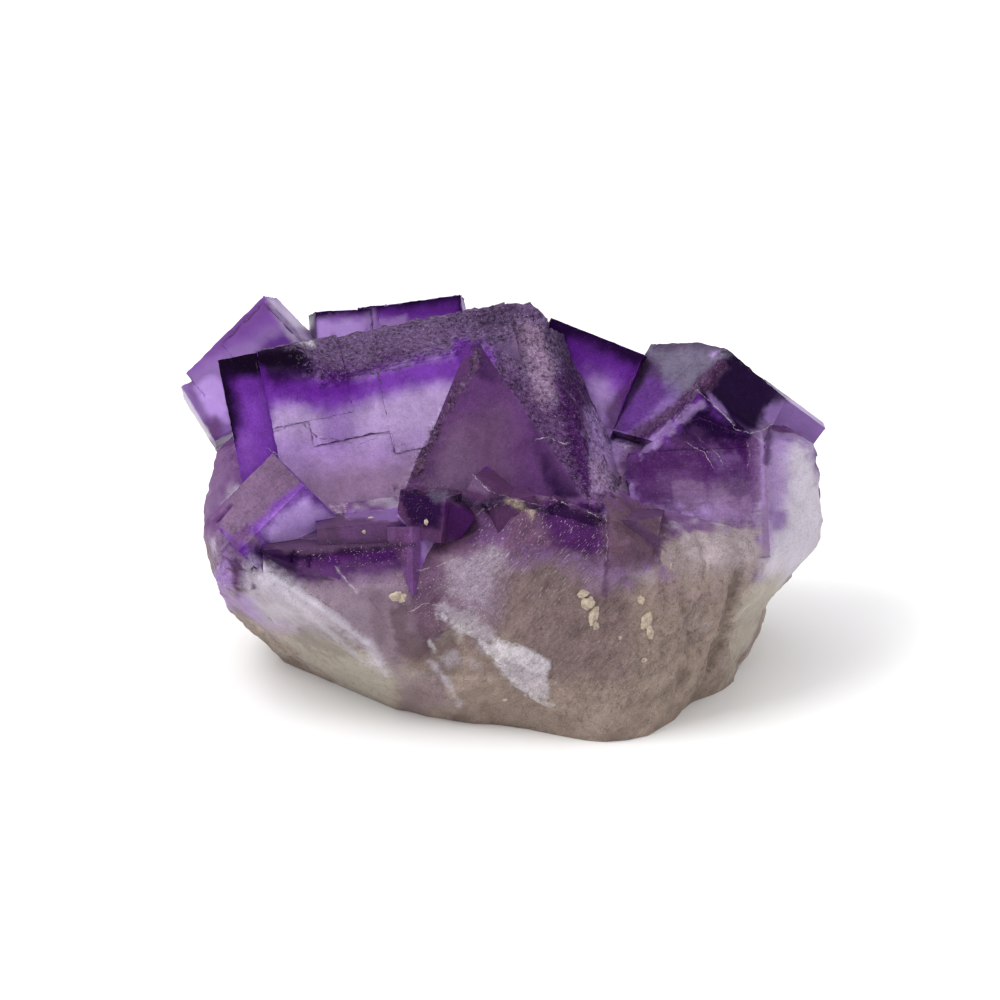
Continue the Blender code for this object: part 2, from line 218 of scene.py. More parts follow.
# The broken ridge between the dark cube and the body under it
RIDGE = "721,364 712,376 697,390 676,410 655,426 627,446"

# Strokes seen from the camera, in pixels of its 1000 x 1000 view. An area fills an outline, and a band
# follows a line at a half width. Each row is the tint or finish, its share, how soft and how ragged its edge
# is, the group of crystals that it keeps to ("" for all), a band's half width, and the "x,y" of its points.
AREAS = (
    # the main cube's front
    ("lilac", 1.0, 4, 0, "main", "250,360 300,366 345,380 404,363 449,356 482,348 430,530 250,530"),
    ("rose", 0.9, 34, 6, "main", "250,486 450,466 450,540 250,540"),
    ("orchid", 0.9, 12, 6, "main", "326,388 352,388 354,436 332,446 322,420"),
    ("frost", 0.2, 22, 6, "main", "272,412 316,410 314,428 270,430"),
    ("frost", 0.22, 30, 8, "main", "360,402 448,388 434,430 364,432"),
    ("violet", 1.0, 4, 0, "slab", "210,350 262,350 285,480 210,490"),
    # the corner cube's diamond face
    ("mulberry", 1.0, 4, 0, "corner", "455,330 490,330 600,500 400,510"),
    ("indigo", 0.5, 5, 3, "corner", "455,338 480,334 482,352 458,358"),
    ("heather", 0.25, 16, 6, "corner", "440,460 462,440 470,480 436,492"),
    ("taupe", 0.2, 30, 8, "corner", "452,430 500,420 500,470 430,490"),
    ("night", 0.6, 7, 3, "corner", "474,350 484,338 500,366 506,380 490,382 478,372"),
    ("night", 0.85, 7, 3, "corner", "533,422 544,438 560,464 580,497 556,497 545,472 538,446"),
    # the etched bevel right of it
    ("etched", 1.0, 4, 0, "roof", "256,338 400,306 484,290 560,296 560,330 484,340 330,352 256,352"),
    ("etching", 1.0, 4, 0, "roof", "290,330 400,306 484,290 560,296 560,330 484,340 330,352 290,354"),
    ("ink", 0.85, 6, 5, "roof", "252,348 300,338 316,348 300,362 252,366"),
    ("etched", 1.0, 4, 0, "roof", "484,340 500,298 560,300 600,420 600,500 585,500"),
    ("mulberry", 0.7, 16, 5, "roof", "500,366 540,400 572,440 580,490 560,470 520,402"),
    ("rose", 0.75, 12, 5, "roof", "520,324 536,328 546,362 552,396 542,400 530,360"),
    ("plum", 0.9, 9, 5, "roof", "566,366 576,372 592,430 600,498 584,492 570,440 558,384"),
    ("slate", 0.5, 10, 6, "roof", "552,330 566,340 580,372 566,384 556,360"),
    ("slate", 0.5, 10, 6, "roof", "478,316 500,306 520,310 506,324 486,336"),
    ("slate", 0.5, 14, 9, "roof", "290,358 330,330 380,322 380,345 330,366"),
    # the rough crust and the rough seam
    ("etched", 0.85, 4, 7, "main", CRUST),
    ("etching", 1.0, 4, 7, "main", CRUST),
    ("mulberry", 0.15, 6, 8, "main", CRUST),
    ("lift", 0.1, 4, 6, "main", CRUST),
    # behind the ridge
    ("bright", 1.0, 4, 0, "back", "550,310 660,350 660,500 580,500"),
    ("lilac", 1.0, 12, 5, "back", "584,384 604,382 612,400 604,414 590,412"),
    ("lilac", 0.75, 10, 6, "", "588,412 614,408 622,436 612,488 598,496 594,450"),
    ("rose", 0.6, 8, 5, "", "594,462 622,470 618,496 596,498"),
    # the dark cube: its grey face, where the grey is a painted sheen of light from above, the violet left of
    # it and the dark face
    ("grey", 1.0, 4, 0, "dark", "640,330 735,330 735,360 697,392 660,425 612,445 640,380"),
    ("plum", 0.75, 8, 3, "", "646,356 656,366 664,394 640,426 610,440 607,412"),
    ("violet", 0.5, 14, 6, "dark", "650,384 672,386 676,404 640,432 620,440 630,404"),
    ("orchid", 0.5, 6, 4, "dark", "664,404 690,396 672,412 640,434 624,440"),
    ("night", 1.0, 4, 2, "dark", "719,362 745,350 770,370 800,400 782,418 767,428 738,430 698,393"),
    ("lined", 0.9, 4, 0, "dark", "640,330 735,330 735,360 697,392 660,425 612,445"),
    ("slate", 0.8, 10, 3, "dark", "770,372 800,396 788,418 776,420"),
    ("night", 0.9, 6, 3, "", "756,376 792,392 788,412 762,422"),
    ("orchid", 0.85, 2, 1, "dark", "707,392 722,404 734,424 716,408"),
    # a painted glint near the top of the grey face
    ("lilac", 0.8, 2, 2, "dark", "709,356 716,350 720,353 712,358"),
    # the body under it
    ("night", 1.0, 12, 5, "right", "698,402 738,432 762,434 762,462 740,470 716,450 690,450 676,436"),
    ("night", 0.3, 18, 8, "right", "622,458 690,440 745,462 764,470 764,500 640,500"),
    ("mulberry", 0.9, 18, 8, "right", "622,458 690,440 745,462 764,470 764,500 640,500"),
    ("plum", 0.4, 12, 8, "right", "622,470 650,470 680,520 740,520 740,536 664,536"),
    ("heather", 0.85, 16, 8, "right", "716,492 764,480 764,545 730,545 712,520"),
    ("plum", 0.7, 10, 6, "right", "696,446 746,446 754,472 706,476"),
    ("heather", 0.6, 4, 3, "right", "674,484 688,480 704,486 707,500 690,512 676,498"),
    ("lilac", 0.55, 5, 4, "right", "622,480 632,484 636,500 640,520 628,508"),
    ("lilac", 0.14, 5, 6, "right", "708,446 736,452 750,470 738,486 722,470"),
    ("plum", 0.6, 6, 8, "right", "640,458 668,448 690,456 676,470 650,476"),
    ("plum", 0.5, 5, 8, "right", "724,464 748,458 758,480 740,500 728,486"),
    ("lilac", 0.2, 6, 8, "right", "700,508 724,500 740,520 716,534"),
    ("lined", 0.6, 12, 8, "right", "622,440 764,430 764,545 640,545"),
    ("flaky", 0.15, 20, 8, "right", "622,440 764,430 764,545 640,545"),
    # far right
    ("orchid", 1.0, 3, 1, "diamond", "760,380 846,400 846,460 760,440"),
    ("orchid", 1.0, 8, 4, "", "768,410 800,396 832,425 825,470 770,500"),
    ("frost", 0.9, 14, 6, "", "766,462 796,446 830,476 820,555 775,600 764,560"),
    ("lilac", 0.8, 16, 6, "", "766,430 784,434 782,500 766,540"),
    ("orchid", 0.8, 7, 3, "", "772,513 784,513 786,524 775,528"),
    ("heather", 0.8, 3, 2, "right", "762,426 796,426 796,572 762,566"),
    ("mauve", 0.7, 4, 3, "right", "748,440 762,434 762,500 750,504"),
    # painted light that brightens the shaded underside of the dark cube
    ("orchid", 0.9, 2, 1, "", "608,430 656,438 656,448 612,442"),
    ("olive", 0.95, 12, 6, "", "742,592 778,578 770,640 735,676 728,640"),
    # back left
    ("orchid", 1.0, 4, 0, "left", "170,290 310,290 310,420 170,440"),
    ("violet", 0.45, 14, 4, "left", "196,366 262,294 280,312 240,338 214,372"),
    ("bright", 0.8, 12, 4, "left", "186,372 262,292 282,318 246,332 208,362"),
    ("mauve", 0.45, 9, 4, "left", "190,366 262,298 272,306 216,352"),
    ("lilac", 0.6, 14, 4, "left", "196,376 234,350 262,352 236,374 208,396"),
    ("indigo", 0.8, 10, 4, "left", "268,344 286,336 302,348 262,358"),
    ("orchid", 0.7, 9, 4, "left", "178,388 212,376 224,390 224,440 190,430"),
    ("milk", 0.7, 7, 3, "left", "196,388 214,378 226,390 226,420 206,412"),
    ("lilac", 0.4, 12, 3, "left", "228,356 250,350 256,362 232,370"),
    ("frost", 0.7, 6, 2, "left", "270,300 280,308 312,345 300,347 284,326"),
    # the row along the back
    ("bright", 1.0, 4, 0, "row", "300,290 470,285 470,345 300,345"),
    ("milk", 0.7, 9, 3, "row", "318,322 364,322 366,345 316,345"),
    ("indigo", 0.9, 9, 3, "row", "376,300 466,290 466,312 400,318 376,312"),
    ("lilac", 0.75, 6, 3, "row", "378,322 404,318 400,340 376,340"),
    ("lilac", 0.8, 3, 2, "row", "366,306 375,305 376,334 367,336"),
    ("frost", 0.6, 6, 3, "", "302,322 312,316 311,346 300,342"),
    # front left
    ("mauve", 1.0, 4, 0, "first", "210,520 275,440 310,470 255,545"),
    ("ash", 0.45, 12, 6, "first", "210,520 275,440 310,470 255,545"),
    ("dusk", 0.35, 12, 5, "first", "264,468 290,454 304,480 270,508 252,512"),
    ("milk", 0.95, 3, 0, "first", "257,528 306,486 348,518 300,546 266,548"),
    ("lined", 0.9, 4, 0, "first", "210,520 275,440 310,470 255,545"),
    ("heather", 0.9, 8, 4, "nubs", "205,510 275,500 275,620 205,620"),
    ("mauve", 0.9, 3, 3, "", "231,542 248,524 252,530 238,548"),
    ("flaky", 0.3, 6, 4, "", "212,520 262,524 262,590 222,596"),
    ("damson", 0.7, 4, 3, "", "228,562 238,560 248,592 240,602 230,584"),
    ("lilac", 0.7, 5, 4, "", "212,574 226,560 232,588 222,596"),
    ("mauve", 0.9, 10, 5, "", "196,430 216,420 230,470 214,530 200,520"),
    ("heather", 0.5, 9, 5, "", "204,462 222,452 226,480 210,512 203,500"),
    # the ledge
    ("dusk", 1.0, 3, 2, "ledge", "250,552 345,510 420,515 412,548 300,560"),
    ("mauve", 0.5, 6, 4, "ledge", "340,526 395,521 408,528 392,538 346,540"),
    ("orchid", 0.7, 4, 2, "", "345,511 378,512 396,507 400,520 372,518 346,517"),
    ("plum", 0.95, 5, 4, "", "254,554 300,558 412,548 404,566 350,570 276,568"),
    ("mulberry", 0.9, 7, 5, "", "276,564 350,566 404,562 404,580 350,588 300,584"),
    ("mauve", 0.5, 6, 5, "", "330,582 404,576 404,592 350,598"),
    ("ash", 0.9, 12, 6, "ledge", "280,592 408,584 404,640 270,640"),
    ("night", 0.8, 4, 3, "", "256,546 272,548 296,556 296,572 274,566 255,553"),
    ("sparkle", 0.7, 5, 4, "", "296,550 345,544 412,536 412,560 345,566 296,566"),
    ("mauve", 1.0, 2, 1, "end", "402,530 420,525 420,600 400,600"),
    ("damson", 0.8, 3, 1, "end", "396,530 408,530 405,566 396,560"),
    # the small crystals in the middle
    ("damson", 1.0, 4, 0, "middle", "390,470 670,470 670,580 390,580"),
    ("night", 0.9, 5, 4, "middle", "402,492 440,494 438,528 410,524"),
    ("plum", 0.9, 4, 3, "middle", "446,500 478,514 466,545 448,536"),
    ("grey", 0.45, 4, 3, "middle", "428,488 448,492 452,500 432,500"),
    ("heather", 0.5, 4, 3, "middle", "466,486 474,476 488,488 486,494"),
    ("night", 0.85, 8, 5, "", "548,504 572,504 592,518 596,540 572,548 548,536"),
    ("sparkle", 0.22, 6, 4, "middle", "396,488 436,490 426,528 398,518"),
    ("dusk", 1.0, 5, 5, "middle", "606,510 664,508 664,572 606,572"),
    ("mauve", 0.85, 4, 3, "", "568,499 592,496 614,490 612,506 590,510 572,506"),
    # the front of the base, from the top down
    ("wine", 0.95, 20, 10, "base", "420,520 560,496 655,512 664,550 600,560 540,544 440,560"),
    ("plum", 0.9, 12, 8, "base", "544,505 560,502 600,520 602,544 586,552 556,540"),
    ("umber", 0.6, 10, 8, "base", "608,512 658,512 662,560 612,566"),
    ("mauve", 0.7, 10, 6, "base", "480,512 494,504 504,520 500,545 470,540"),
    ("taupe", 0.95, 22, 8, "base", "500,572 560,570 600,596 650,600 650,690 560,690 510,630"),
    ("wine", 0.8, 14, 8, "base", "408,540 440,545 450,570 460,610 430,640 404,622"),
    ("heather", 0.4, 8, 6, "base", "581,562 604,560 606,592 586,594"),
    ("ash", 0.6, 12, 8, "base", "446,560 498,549 510,572 500,606 486,636 446,606"),
    ("frost", 0.22, 9, 8, "base", "450,566 486,548 502,560 490,584 470,600 452,594"),
    ("frost", 0.35, 6, 8, "base", "440,606 470,610 492,632 486,650 462,634 443,618"),
    ("sparkle", 0.8, 10, 8, "base", "404,580 450,575 490,600 490,650 440,625 405,612"),
    ("lined", 1.0, 8, 8, "base", "480,510 604,505 604,575 520,600 470,570"),
    ("lined", 0.6, 14, 8, "base", "420,600 600,580 700,600 660,700 480,690"),
    ("flaky", 0.12, 14, 8, "base", "500,600 640,590 660,690 560,720"),
    ("flaky", 0.22, 8, 8, "base", "450,560 498,545 506,572 494,620 450,606"),
    # low on the left: pale and smooth, then grey-green
    ("frost", 0.6, 12, 6, "", "252,562 292,582 361,625 379,648 330,640 262,622 246,600"),
    ("lilac", 0.7, 10, 6, "", "212,592 248,600 262,624 300,634 260,638 226,620"),
    ("ash", 0.85, 14, 6, "base", "310,588 400,580 410,622 396,670 360,640"),
    ("umber", 0.7, 6, 6, "base", "392,608 408,606 410,640 428,640 431,660 398,656"),
    ("umber", 0.3, 5, 3, "base", "371,594 381,590 385,640 377,650"),
    ("olive", 0.95, 12, 8, "base", "250,632 300,636 360,652 420,700 300,690 250,660"),
    ("moss", 0.4, 8, 8, "base", "300,624 342,634 356,652 330,656 300,640"),
    ("clay", 0.9, 18, 8, "base", "400,690 520,690 620,690 720,650 700,740 420,735"),
    ("ash", 0.5, 12, 8, "base", "400,676 440,672 450,704 410,706"),
    ("mottled", 0.5, 12, 8, "base", "250,630 350,640 430,700 330,690"),
    ("clay", 0.5, 4, 3, "base", "462,648 482,656 486,680 464,678"),
    # places that are smoother than the rest
    ("calm", 1.0, 10, 0, "left", "160,280 310,280 310,440 160,440"),
    ("calm", 0.8, 10, 0, "row", "300,280 480,280 480,350 300,350"),
    ("calm", 0.8, 8, 4, "", "764,400 840,380 840,620 760,690 726,660 762,580"),
    ("calm", 0.8, 8, 4, "", "190,420 214,424 230,480 214,530 196,520"),
    ("calm", 0.8, 14, 6, "base", "236,580 300,590 400,660 420,720 280,700 220,620"),
    ("calm", 0.6, 14, 6, "base", "320,590 410,586 420,650 400,668 360,640"),
    # the flake, and the right end of the base
    ("frost", 0.55, 2, 3, "base", FLAKE),
    # a painted highlight on the flake's upper side
    ("white", 0.5, 2, 2, "base", "497,640 530,652 550,662 545,674 520,664 500,652"),
    ("lift", 0.32, 2, 3, "base", FLAKE),
    ("flaky", 0.12, 3, 3, "base", FLAKE),
    ("beige", 1.0, 8, 8, "", "664,540 712,534 758,532 758,575 735,596 690,588 668,566"),
    ("frost", 0.2, 6, 8, "", "680,534 704,536 756,534 756,556 720,566 690,558"),
    ("clay", 0.7, 20, 8, "base", "640,580 740,585 720,650 640,690"),
    ("mottled", 1.0, 16, 8, "base", "664,585 742,570 724,660 690,700 630,734 560,715 620,670"),
)
BANDS = (
    # the main cube: violet under its crust, near black in its top left corner
    ("violet", 1.0, 15, 4, "main", 9, "256,392 300,391 328,398 372,386 404,376 449,368 480,360"),
    ("indigo", 0.9, 14, 4, "main", 7, "254,380 290,382 318,390 345,386"),
    ("plum", 0.5, 10, 6, "main", 4, "300,362 335,376 372,368 404,358"),
    ("night", 0.95, 12, 3, "main", 10, "252,368 300,366"),
    ("ink", 0.95, 7, 2, "main", 7, "252,361 296,358"),
    ("indigo", 0.8, 8, 3, "main", 2, "262,372 264,400 268,420"),
    ("indigo", 0.8, 6, 3, "main", 8, "462,346 468,360"),
    ("indigo", 0.6, 10, 3, "slab", 12, "236,384 256,380"),
    ("ink", 1.0, 10, 2, "slab", 12, "214,366 262,360"),
    ("night", 0.95, 14, 3, "slab", 8, "222,380 226,404 229,424"),
    ("bright", 0.6, 12, 3, "slab", 4, "244,440 248,462 240,474"),
    ("indigo", 0.3, 16, 3, "slab", 8, "226,440 236,476"),
    ("ink", 0.95, 5, 3, "slab", 4, "219,366 226,410 232,446"),
    # the seam with the corner cube
    ("dusk", 0.9, 4, 4, "corner", 3, SEAM),
    ("dusk", 0.7, 4, 4, "main", 2, SEAM),
    ("etching", 1.0, 4, 5, "", 4, SEAM),
    # behind the ridge
    ("indigo", 0.9, 18, 4, "back", 18, "556,334 605,348 648,368"),
    ("night", 1.0, 14, 4, "back", 9, "552,322 605,338 648,357"),
    ("indigo", 0.6, 10, 4, "back", 3, "575,345 588,410 592,440"),
    # the dark cube's upper edges
    ("slate", 0.8, 9, 3, "dark", 3, "656,345 690,343 735,346 760,362 790,392"),
    ("etching", 0.9, 6, 3, "dark", 4, "722,352 750,358 790,394"),
    # its broken ridge
    ("damson", 0.8, 4, 5, "right", 6, RIDGE),
    ("flaky", 0.7, 4, 6, "", 4, RIDGE),
    ("plum", 0.8, 3, 4, "right", 2, "690,404 668,422 640,438"),
    ("lilac", 0.6, 3, 5, "right", 4, "700,404 684,416 660,436 640,452"),
    ("lilac", 0.7, 2, 1, "", 1, "762,432 763,480 763,505"),
    ("plum", 0.7, 3, 2, "", 2, "770,428 768,450 766,462"),
    # back left and the row
    ("indigo", 0.7, 6, 2, "left", 1, "278,310 290,326 304,344"),
    ("mauve", 0.5, 5, 2, "left", 1, "188,378 192,392 206,416"),
    ("frost", 0.7, 5, 2, "left", 2, "178,390 192,414 206,436"),
    ("night", 1.0, 8, 2, "row", 5, "312,311 366,306"),
    ("night", 1.0, 9, 3, "row", 4, "378,305 420,300 464,294"),
    ("night", 0.85, 4, 2, "row", 2, "313,312 314,340"),
    ("night", 0.9, 4, 2, "row", 2, "462,294 461,310"),
    # front left
    ("violet", 0.95, 9, 3, "first", 3, "306,488 346,518"),
    ("violet", 0.85, 8, 3, "first", 4, "256,530 280,508 306,488"),
    ("violet", 0.8, 6, 2, "first", 2, "256,530 272,550"),
    ("groove", 0.22, 2, 0, "", 0.5, "231,505 224,513 217,521"),
    ("plum", 0.8, 2, 1, "", 1, "231,505 224,513 217,521"),
    # the ledge's front edge and its cracked block
    ("ink", 0.55, 3, 3, "ledge", 1, "262,556 300,557 345,551 412,545"),
    ("groove", 0.3, 2, 1, "ledge", 1, "294,552 291,566 296,578 308,576 310,556"),
    ("night", 0.8, 2, 2, "ledge", 1, "294,552 291,566 296,578 308,576 310,556"),
    ("frost", 0.4, 2, 3, "", 0, "336,568 346,580 356,591"),
    # the middle's broken crest
    ("slate", 0.8, 3, 3, "", 2, "450,494 478,506 500,500 520,503 545,512"),
    ("cream", 0.45, 3, 4, "", 2, "508,500 522,506 532,514"),
    ("plum", 0.8, 2, 1, "", 3, "581,505 592,508 602,510"),
    ("groove", 0.35, 3, 2, "", 1, "581,506 602,511"),
    ("groove", 0.25, 3, 2, "base", 1, "606,520 607,560 606,600"),
    ("damson", 0.6, 3, 2, "base", 1, "606,520 607,560 606,600"),
    ("lift", 0.35, 4, 4, "base", 2, "474,520 495,506 512,506 540,516 556,502 600,520"),
    ("flaky", 0.55, 4, 4, "", 3, "395,490 440,490 478,506 510,502 545,514 560,502 606,518"),
    # pale cleavage edges and the white streak
    ("white", 0.4, 3, 6, "base", 1, STREAK),
    ("lift", 0.16, 4, 4, "base", 2, STREAK),
    ("flaky", 0.3, 4, 4, "base", 4, STREAK),
    ("frost", 0.6, 4, 2, "base", 2, "253,561 315,603 374,646 386,674"),
    ("lift", 0.28, 3, 1, "base", 2, "253,563 315,603 374,646 386,674"),
    ("frost", 0.45, 4, 2, "base", 1, "286,592 330,634 378,672"),
    ("frost", 0.5, 3, 3, "base", 2, "364,642 374,660 382,674"),
    ("frost", 0.5, 3, 3, "base", 2, "430,662 444,678 460,704"),
    ("white", 0.6, 2, 2, "base", 1, "430,642 436,652"),
    # the columns at the right end of the base
    ("groove", 0.5, 5, 3, "base", 2, "740,572 729,612 719,645 706,672"),
    ("groove", 0.4, 5, 3, "base", 2, "708,588 698,620 700,650"),
    ("groove", 0.4, 5, 3, "base", 2, "682,595 690,640 676,690"),
    ("groove", 0.3, 5, 3, "base", 2, "664,585 668,610 664,650"),
    ("groove", 0.35, 4, 3, "", 1, "700,538 706,560 704,580"),
    ("moss", 0.6, 5, 5, "base", 2, "738,575 728,612 718,645 704,676"),
    ("moss", 0.45, 5, 5, "base", 2, "684,596 692,640 680,680"),
    ("moss", 0.4, 6, 6, "base", 3, "632,704 660,696 690,676"),
)

# Thin marks: dark, white or rusty, half width in millimetres, and the "x,y" of their points
MARKS = (
    ("dark", 0.09, "265,432 283,430 288,424 303,423 310,430 318,438 345,440"),
    ("dark", 0.05, "345,440 357,445 376,438 378,433 392,434 395,450 414,452"),
    ("dark", 0.08, "256,362 258,376 262,400 266,430 273,456"),
    ("rust", 0.10, "303,425 309,429 315,436 326,440"),
    ("rust", 0.07, "340,440 350,443"),
    ("rust", 0.12, "416,458 420,464 418,472"),
    ("white", 0.08, "540,438 548,437 556,441 565,443"),
    ("dark", 0.15, "566,431 580,436 593,441"),
    ("dark", 0.12, "610,441 622,442 636,446"),
    ("dark", 0.10, "628,440 652,424 676,408"),
    ("dark", 0.06, "655,398 672,384 694,362"),
    ("dark", 0.06, "240,520 262,500 282,484"),
    ("rust", 0.09, "645,362 626,388 610,410"),
    ("white", 0.06, "697,390 716,407 738,429"),
    ("white", 0.08, "738,430 750,433 764,430 772,424"),
    ("white", 0.05, "304,486 326,503 347,518"),
    ("white", 0.04, "270,450 284,460 303,484"),
    ("white", 0.06, "474,476 488,490 516,500"),
    ("white", 0.05, "420,570 436,566 452,560"),
    ("white", 0.05, "410,612 424,604 440,606 452,616"),
    ("white", 0.05, "462,604 476,598 488,586"),
    ("white", 0.06, "500,640 520,645 548,660"),
    ("white", 0.05, "508,660 524,664 540,676"),
    ("white", 0.05, "336,568 346,580 356,592"),
    ("dark", 0.05, "322,557 324,566 330,576"),
    ("dark", 0.05, "368,552 370,566 368,580"),
    ("dark", 0.06, "345,523 352,517 358,510"),
    ("white", 0.03, "700,440 716,452 722,462"),
    ("white", 0.03, "748,446 750,456 748,466"),
    ("white", 0.04, "688,444 704,452 712,466"),
    ("dark", 0.06, "676,426 700,418 716,424 738,434"),
    ("dark", 0.05, "640,452 656,462 664,478"),
    ("white", 0.03, "545,356 552,368"),
    # painted highlights along the glassy edges of the middle's crest
    ("white", 0.05, "520,500 540,506 556,502"),
    ("white", 0.05, "560,502 580,506 596,516"),
    ("white", 0.04, "606,518 608,540 606,560"),
    ("white", 0.04, "668,545 672,560 668,580"),
    ("white", 0.05, "700,538 712,544 724,540"),
    ("dark", 0.05, "700,552 704,570 700,590"),
    # another painted highlight on the crest
    ("white", 0.05, "477,518 486,510 495,506"),
    ("dark", 0.06, "449,500 443,537"),
    ("dark", 0.07, "404,492 401,518"),
    ("rust", 0.14, "228,569 234,571"),
    ("rust", 0.14, "234,583 238,590"),
    ("rust", 0.14, "258,545 266,548"),
    ("rust", 0.08, "310,595 320,599 330,607"),
    ("rust", 0.10, "462,645 464,650"),
    ("dark", 0.06, "461,650 464,680 486,682 484,660"),
    ("rust", 0.08, "528,727 536,728"),
    ("rust", 0.08, "394,572 398,578"),
)

# Cream grains that sit on the surface: x, y, half width and half height in pixels, and turn in degrees
GRAINS = (
    (396, 596, 7, 5, 20),
    (402, 598, 4, 5, -30),
    (583, 594, 6, 4, 20),
    (588, 603, 7, 7, -30),
    (594, 616, 5, 10, -15),
    (596, 626, 3, 5, 0),
    (641, 600, 4, 5, 10),
    (646, 621, 5, 9, -20),
    (650, 632, 4, 7, 10),
    (426, 522, 2, 3, 0),
    (371, 518, 3, 2, 0),
    (364, 532, 2, 2, 0),
    (644, 660, 3, 3, 0),
    (620, 638, 2, 2, 0),
    (505, 700, 3, 2, 30),
)

# Finishes: those that the material reads, as the parts of two attributes, and those that it doesn't. The
# sparkle finish is where painted glints gather.
ATTRIBUTES = {"surface": ("etching", "rock", "flaky"), "pattern": ("lined", "sparkle", "mottled")}
FINISHES = (*ATTRIBUTES["surface"], *ATTRIBUTES["pattern"], "lift", "groove", "worn", "calm")
WORN = ("back_left", "back_left_low", "back_a", "back_b", "back_gap", "right_diamond")
MARK_COLOURS = {"dark": ("damson", 0.7), "white": ("white", 0.5), "rust": ("rust", 0.85)}
MARK_FADE = (6.0, 3.5)  # pixels from a thin mark where nothing of it is stored, and where all of it is

# Smooth noise of the painting and the relief: size of its features, octaves, roughness and seed
CLOUD = (5.0, 3, 0.6, 0.0)
RAGGED = (1.6, 4, 0.6, 7.0)
ROCK_LUMPS = (1.8, 5, 0.7, 0.0)
ETCH_PITS = (0.9, 3, 0.8, 3.0)
WEAR = (0.9, 3, 0.6, 9.0)
WAVES = (4.0, 2, 0.6, 5.0)
ROCK_CHIP = 3.2  # size of the chips of the base
FLAKE_CHIP = 1.3  # and of its flaky places

SEEN = (0.05, 0.11)  # the strokes fade in between these cosines of a crystal face to the camera
BASE_SEEN = 0.10  # and on the base between this on either side of its outline
BASE_RAGGED = 0.15  # how ragged that fade is
INNER_EDGE = -0.3  # a stroke is whole this far inside its outline, as a part of its softness
CLEAVAGE = (0.64, 0.77)  # the base's cleavage, as its way to the right and up
GRAIN_SPREAD = 50.0  # keeps the grain of one crystal apart from the next one's

# Crystals: lilac comes in with height, and violet towards their edges. A tint of the edges is a colour, the
# depths from 0 to 1 where it starts and is whole, and the noise that makes it uneven
LILAC_RISE = (12.0, 20.0)
CROWN = (10.0, 25.0)  # the edges' violet comes in between these heights
DRIFT = {"crystals": 2.5, "base": 2.0}  # how uneven these heights are
RIM_WIDTH = 2.0  # of the violet along the edges
RIM_UNEVEN = 0.8  # how uneven that width is
RIM_POWER = 1.2  # how suddenly it ends
EDGE_TINTS = (
    ("bright", 0.08, 0.4, "cloud"),
    ("violet", 0.3, 0.75, "ragged"),
    ("indigo", 0.65, 1.0, "ragged"),
)
EDGE_ROUGH = 0.1  # how uneven they are

# The base: colours that come in between two heights, from the bottom up
BASE_TINTS = (("taupe", 4.0, 12.0), ("heather", 12.0, 20.0), ("mauve", 18.0, 25.0))
LOW = (16.0, 8.0)  # its low part, from where it starts to where it is whole
OLIVE = (0.6, 0.1, 0.6)  # patches: share, and the noise where they start and are whole
FROST = (0.45, 0.1, 0.7)
MOTTLED = 0.6  # share of the blots low on the base, where no stroke is

CLEAREST = 0.32  # share of the light that the palest crystal lets through
CLEAR_LOSS = {"rock": 0.12, "broken": 0.25}  # how much less it is there
CLEAR_FROM = (0.02, 0.30)  # tints lighter than this let some light through, and than that the most
THROUGH = 0.42  # how bright it is behind the crystal
STUDIO = 1.0  # how bright the studio makes a white surface

# Flat-sided chips, in the noise's own units
CHIP_SEED = 7  # of the tilts, which otherwise come from the time
CHIP_TILT = 2.5  # how steep they are
CHIP_SPREAD = (3.1, 1.7)  # how different neighbouring chips are in tilt and in height
FLAKY_FROM = 0.02  # places that are less flaky than this aren't chipped

# Heights of the relief
HEIGHTS = {"lumps": 0.14, "chips": 0.16, "pits": 0.17, "waves": 0.03, "flakes": 0.35}
EDGE_WEAR = (0.07, 0.12)  # how much is off all edges, and how much more off worn ones
WEAR_WIDTH = 0.6  # of the worn strip along an edge
WEAR_UNEVEN = 1.2  # how uneven the wear is
WEAR_END = 9.0  # edges that are farther than this wear nothing
CALMED = 0.6  # share of the relief that calm places lose
FOOT = 1.2  # the relief starts at the flat cut under the base and is whole above this height

# -------- the material's grain

# Noise: size of its features in millimetres, detail and roughness; and how it is stretched along three axes
CLOUDS = (2.2, 5.0, 0.6)
FINE_GRAIN = (0.5, 5.0, 0.65)
PITS = (0.42, 6.0, 0.75)
STREAKS = (0.7, 4.0, 0.6)
STREAKED = (0.3, 1.0, 2.6)
SCRATCHES = (0.24, 2.0, 0.5)
SCRATCHED = (0.22, 1.0, 2.6)
SPECKS = (0.16, 2.0, 0.5)
BLOTS = (0.7, 5.0, 0.7)
BLOTTED = (1.0, 1.0, 0.55)
GAPS = (0.9, 3.0, 0.6)
FACETS = (3.4, 1.3)  # sizes of the flat-sided patches
FACETED = (0.7, 1.0, 1.5)

# How strongly each of them lightens and darkens the painted tint
SHADES = {"clouds": 1.1, "streaks": 0.9, "fine": 2.4, "specks": 0.8, "facets": 0.18}
CLOUDS_ON_ROCK = -0.4  # change of the clouds there
STREAKS_ALL_OVER = 0.15  # share of the streaks where nothing is lined
FINE_ALL_OVER = 0.22  # share of the fine grain where nothing is broken
DARKEST = 0.15  # what the tint is scaled by at the least
QUIETED = 0.75  # share of the shading that calm places lose

# What is laid over the tint: colour, share, and the noise where it starts and is whole
# DARK_PITS is painted shade: the pits are darkened where the bump is low
DARK_PITS = ("ink", 0.75, 0.50, 0.38)
PALE_GRIT = ("frost", 0.2, 0.56, 0.68)
DUSKY_BLOTS = ("moss", 0.55, 0.53, 0.64)
BRIGHT_SCRATCHES = ("frost", 0.45, 0.63, 0.70)
FRECKLES = ("damson", 0.35, 0.40, 0.32)
# SPARKLES are painted glints: white specks where light catches the surface
SPARKLES = ("white", 1.0, 0.66, 0.72)
SPARKLE_SHARES = {"broken": 0.3, "sparkle": 0.6, "all over": 0.03}

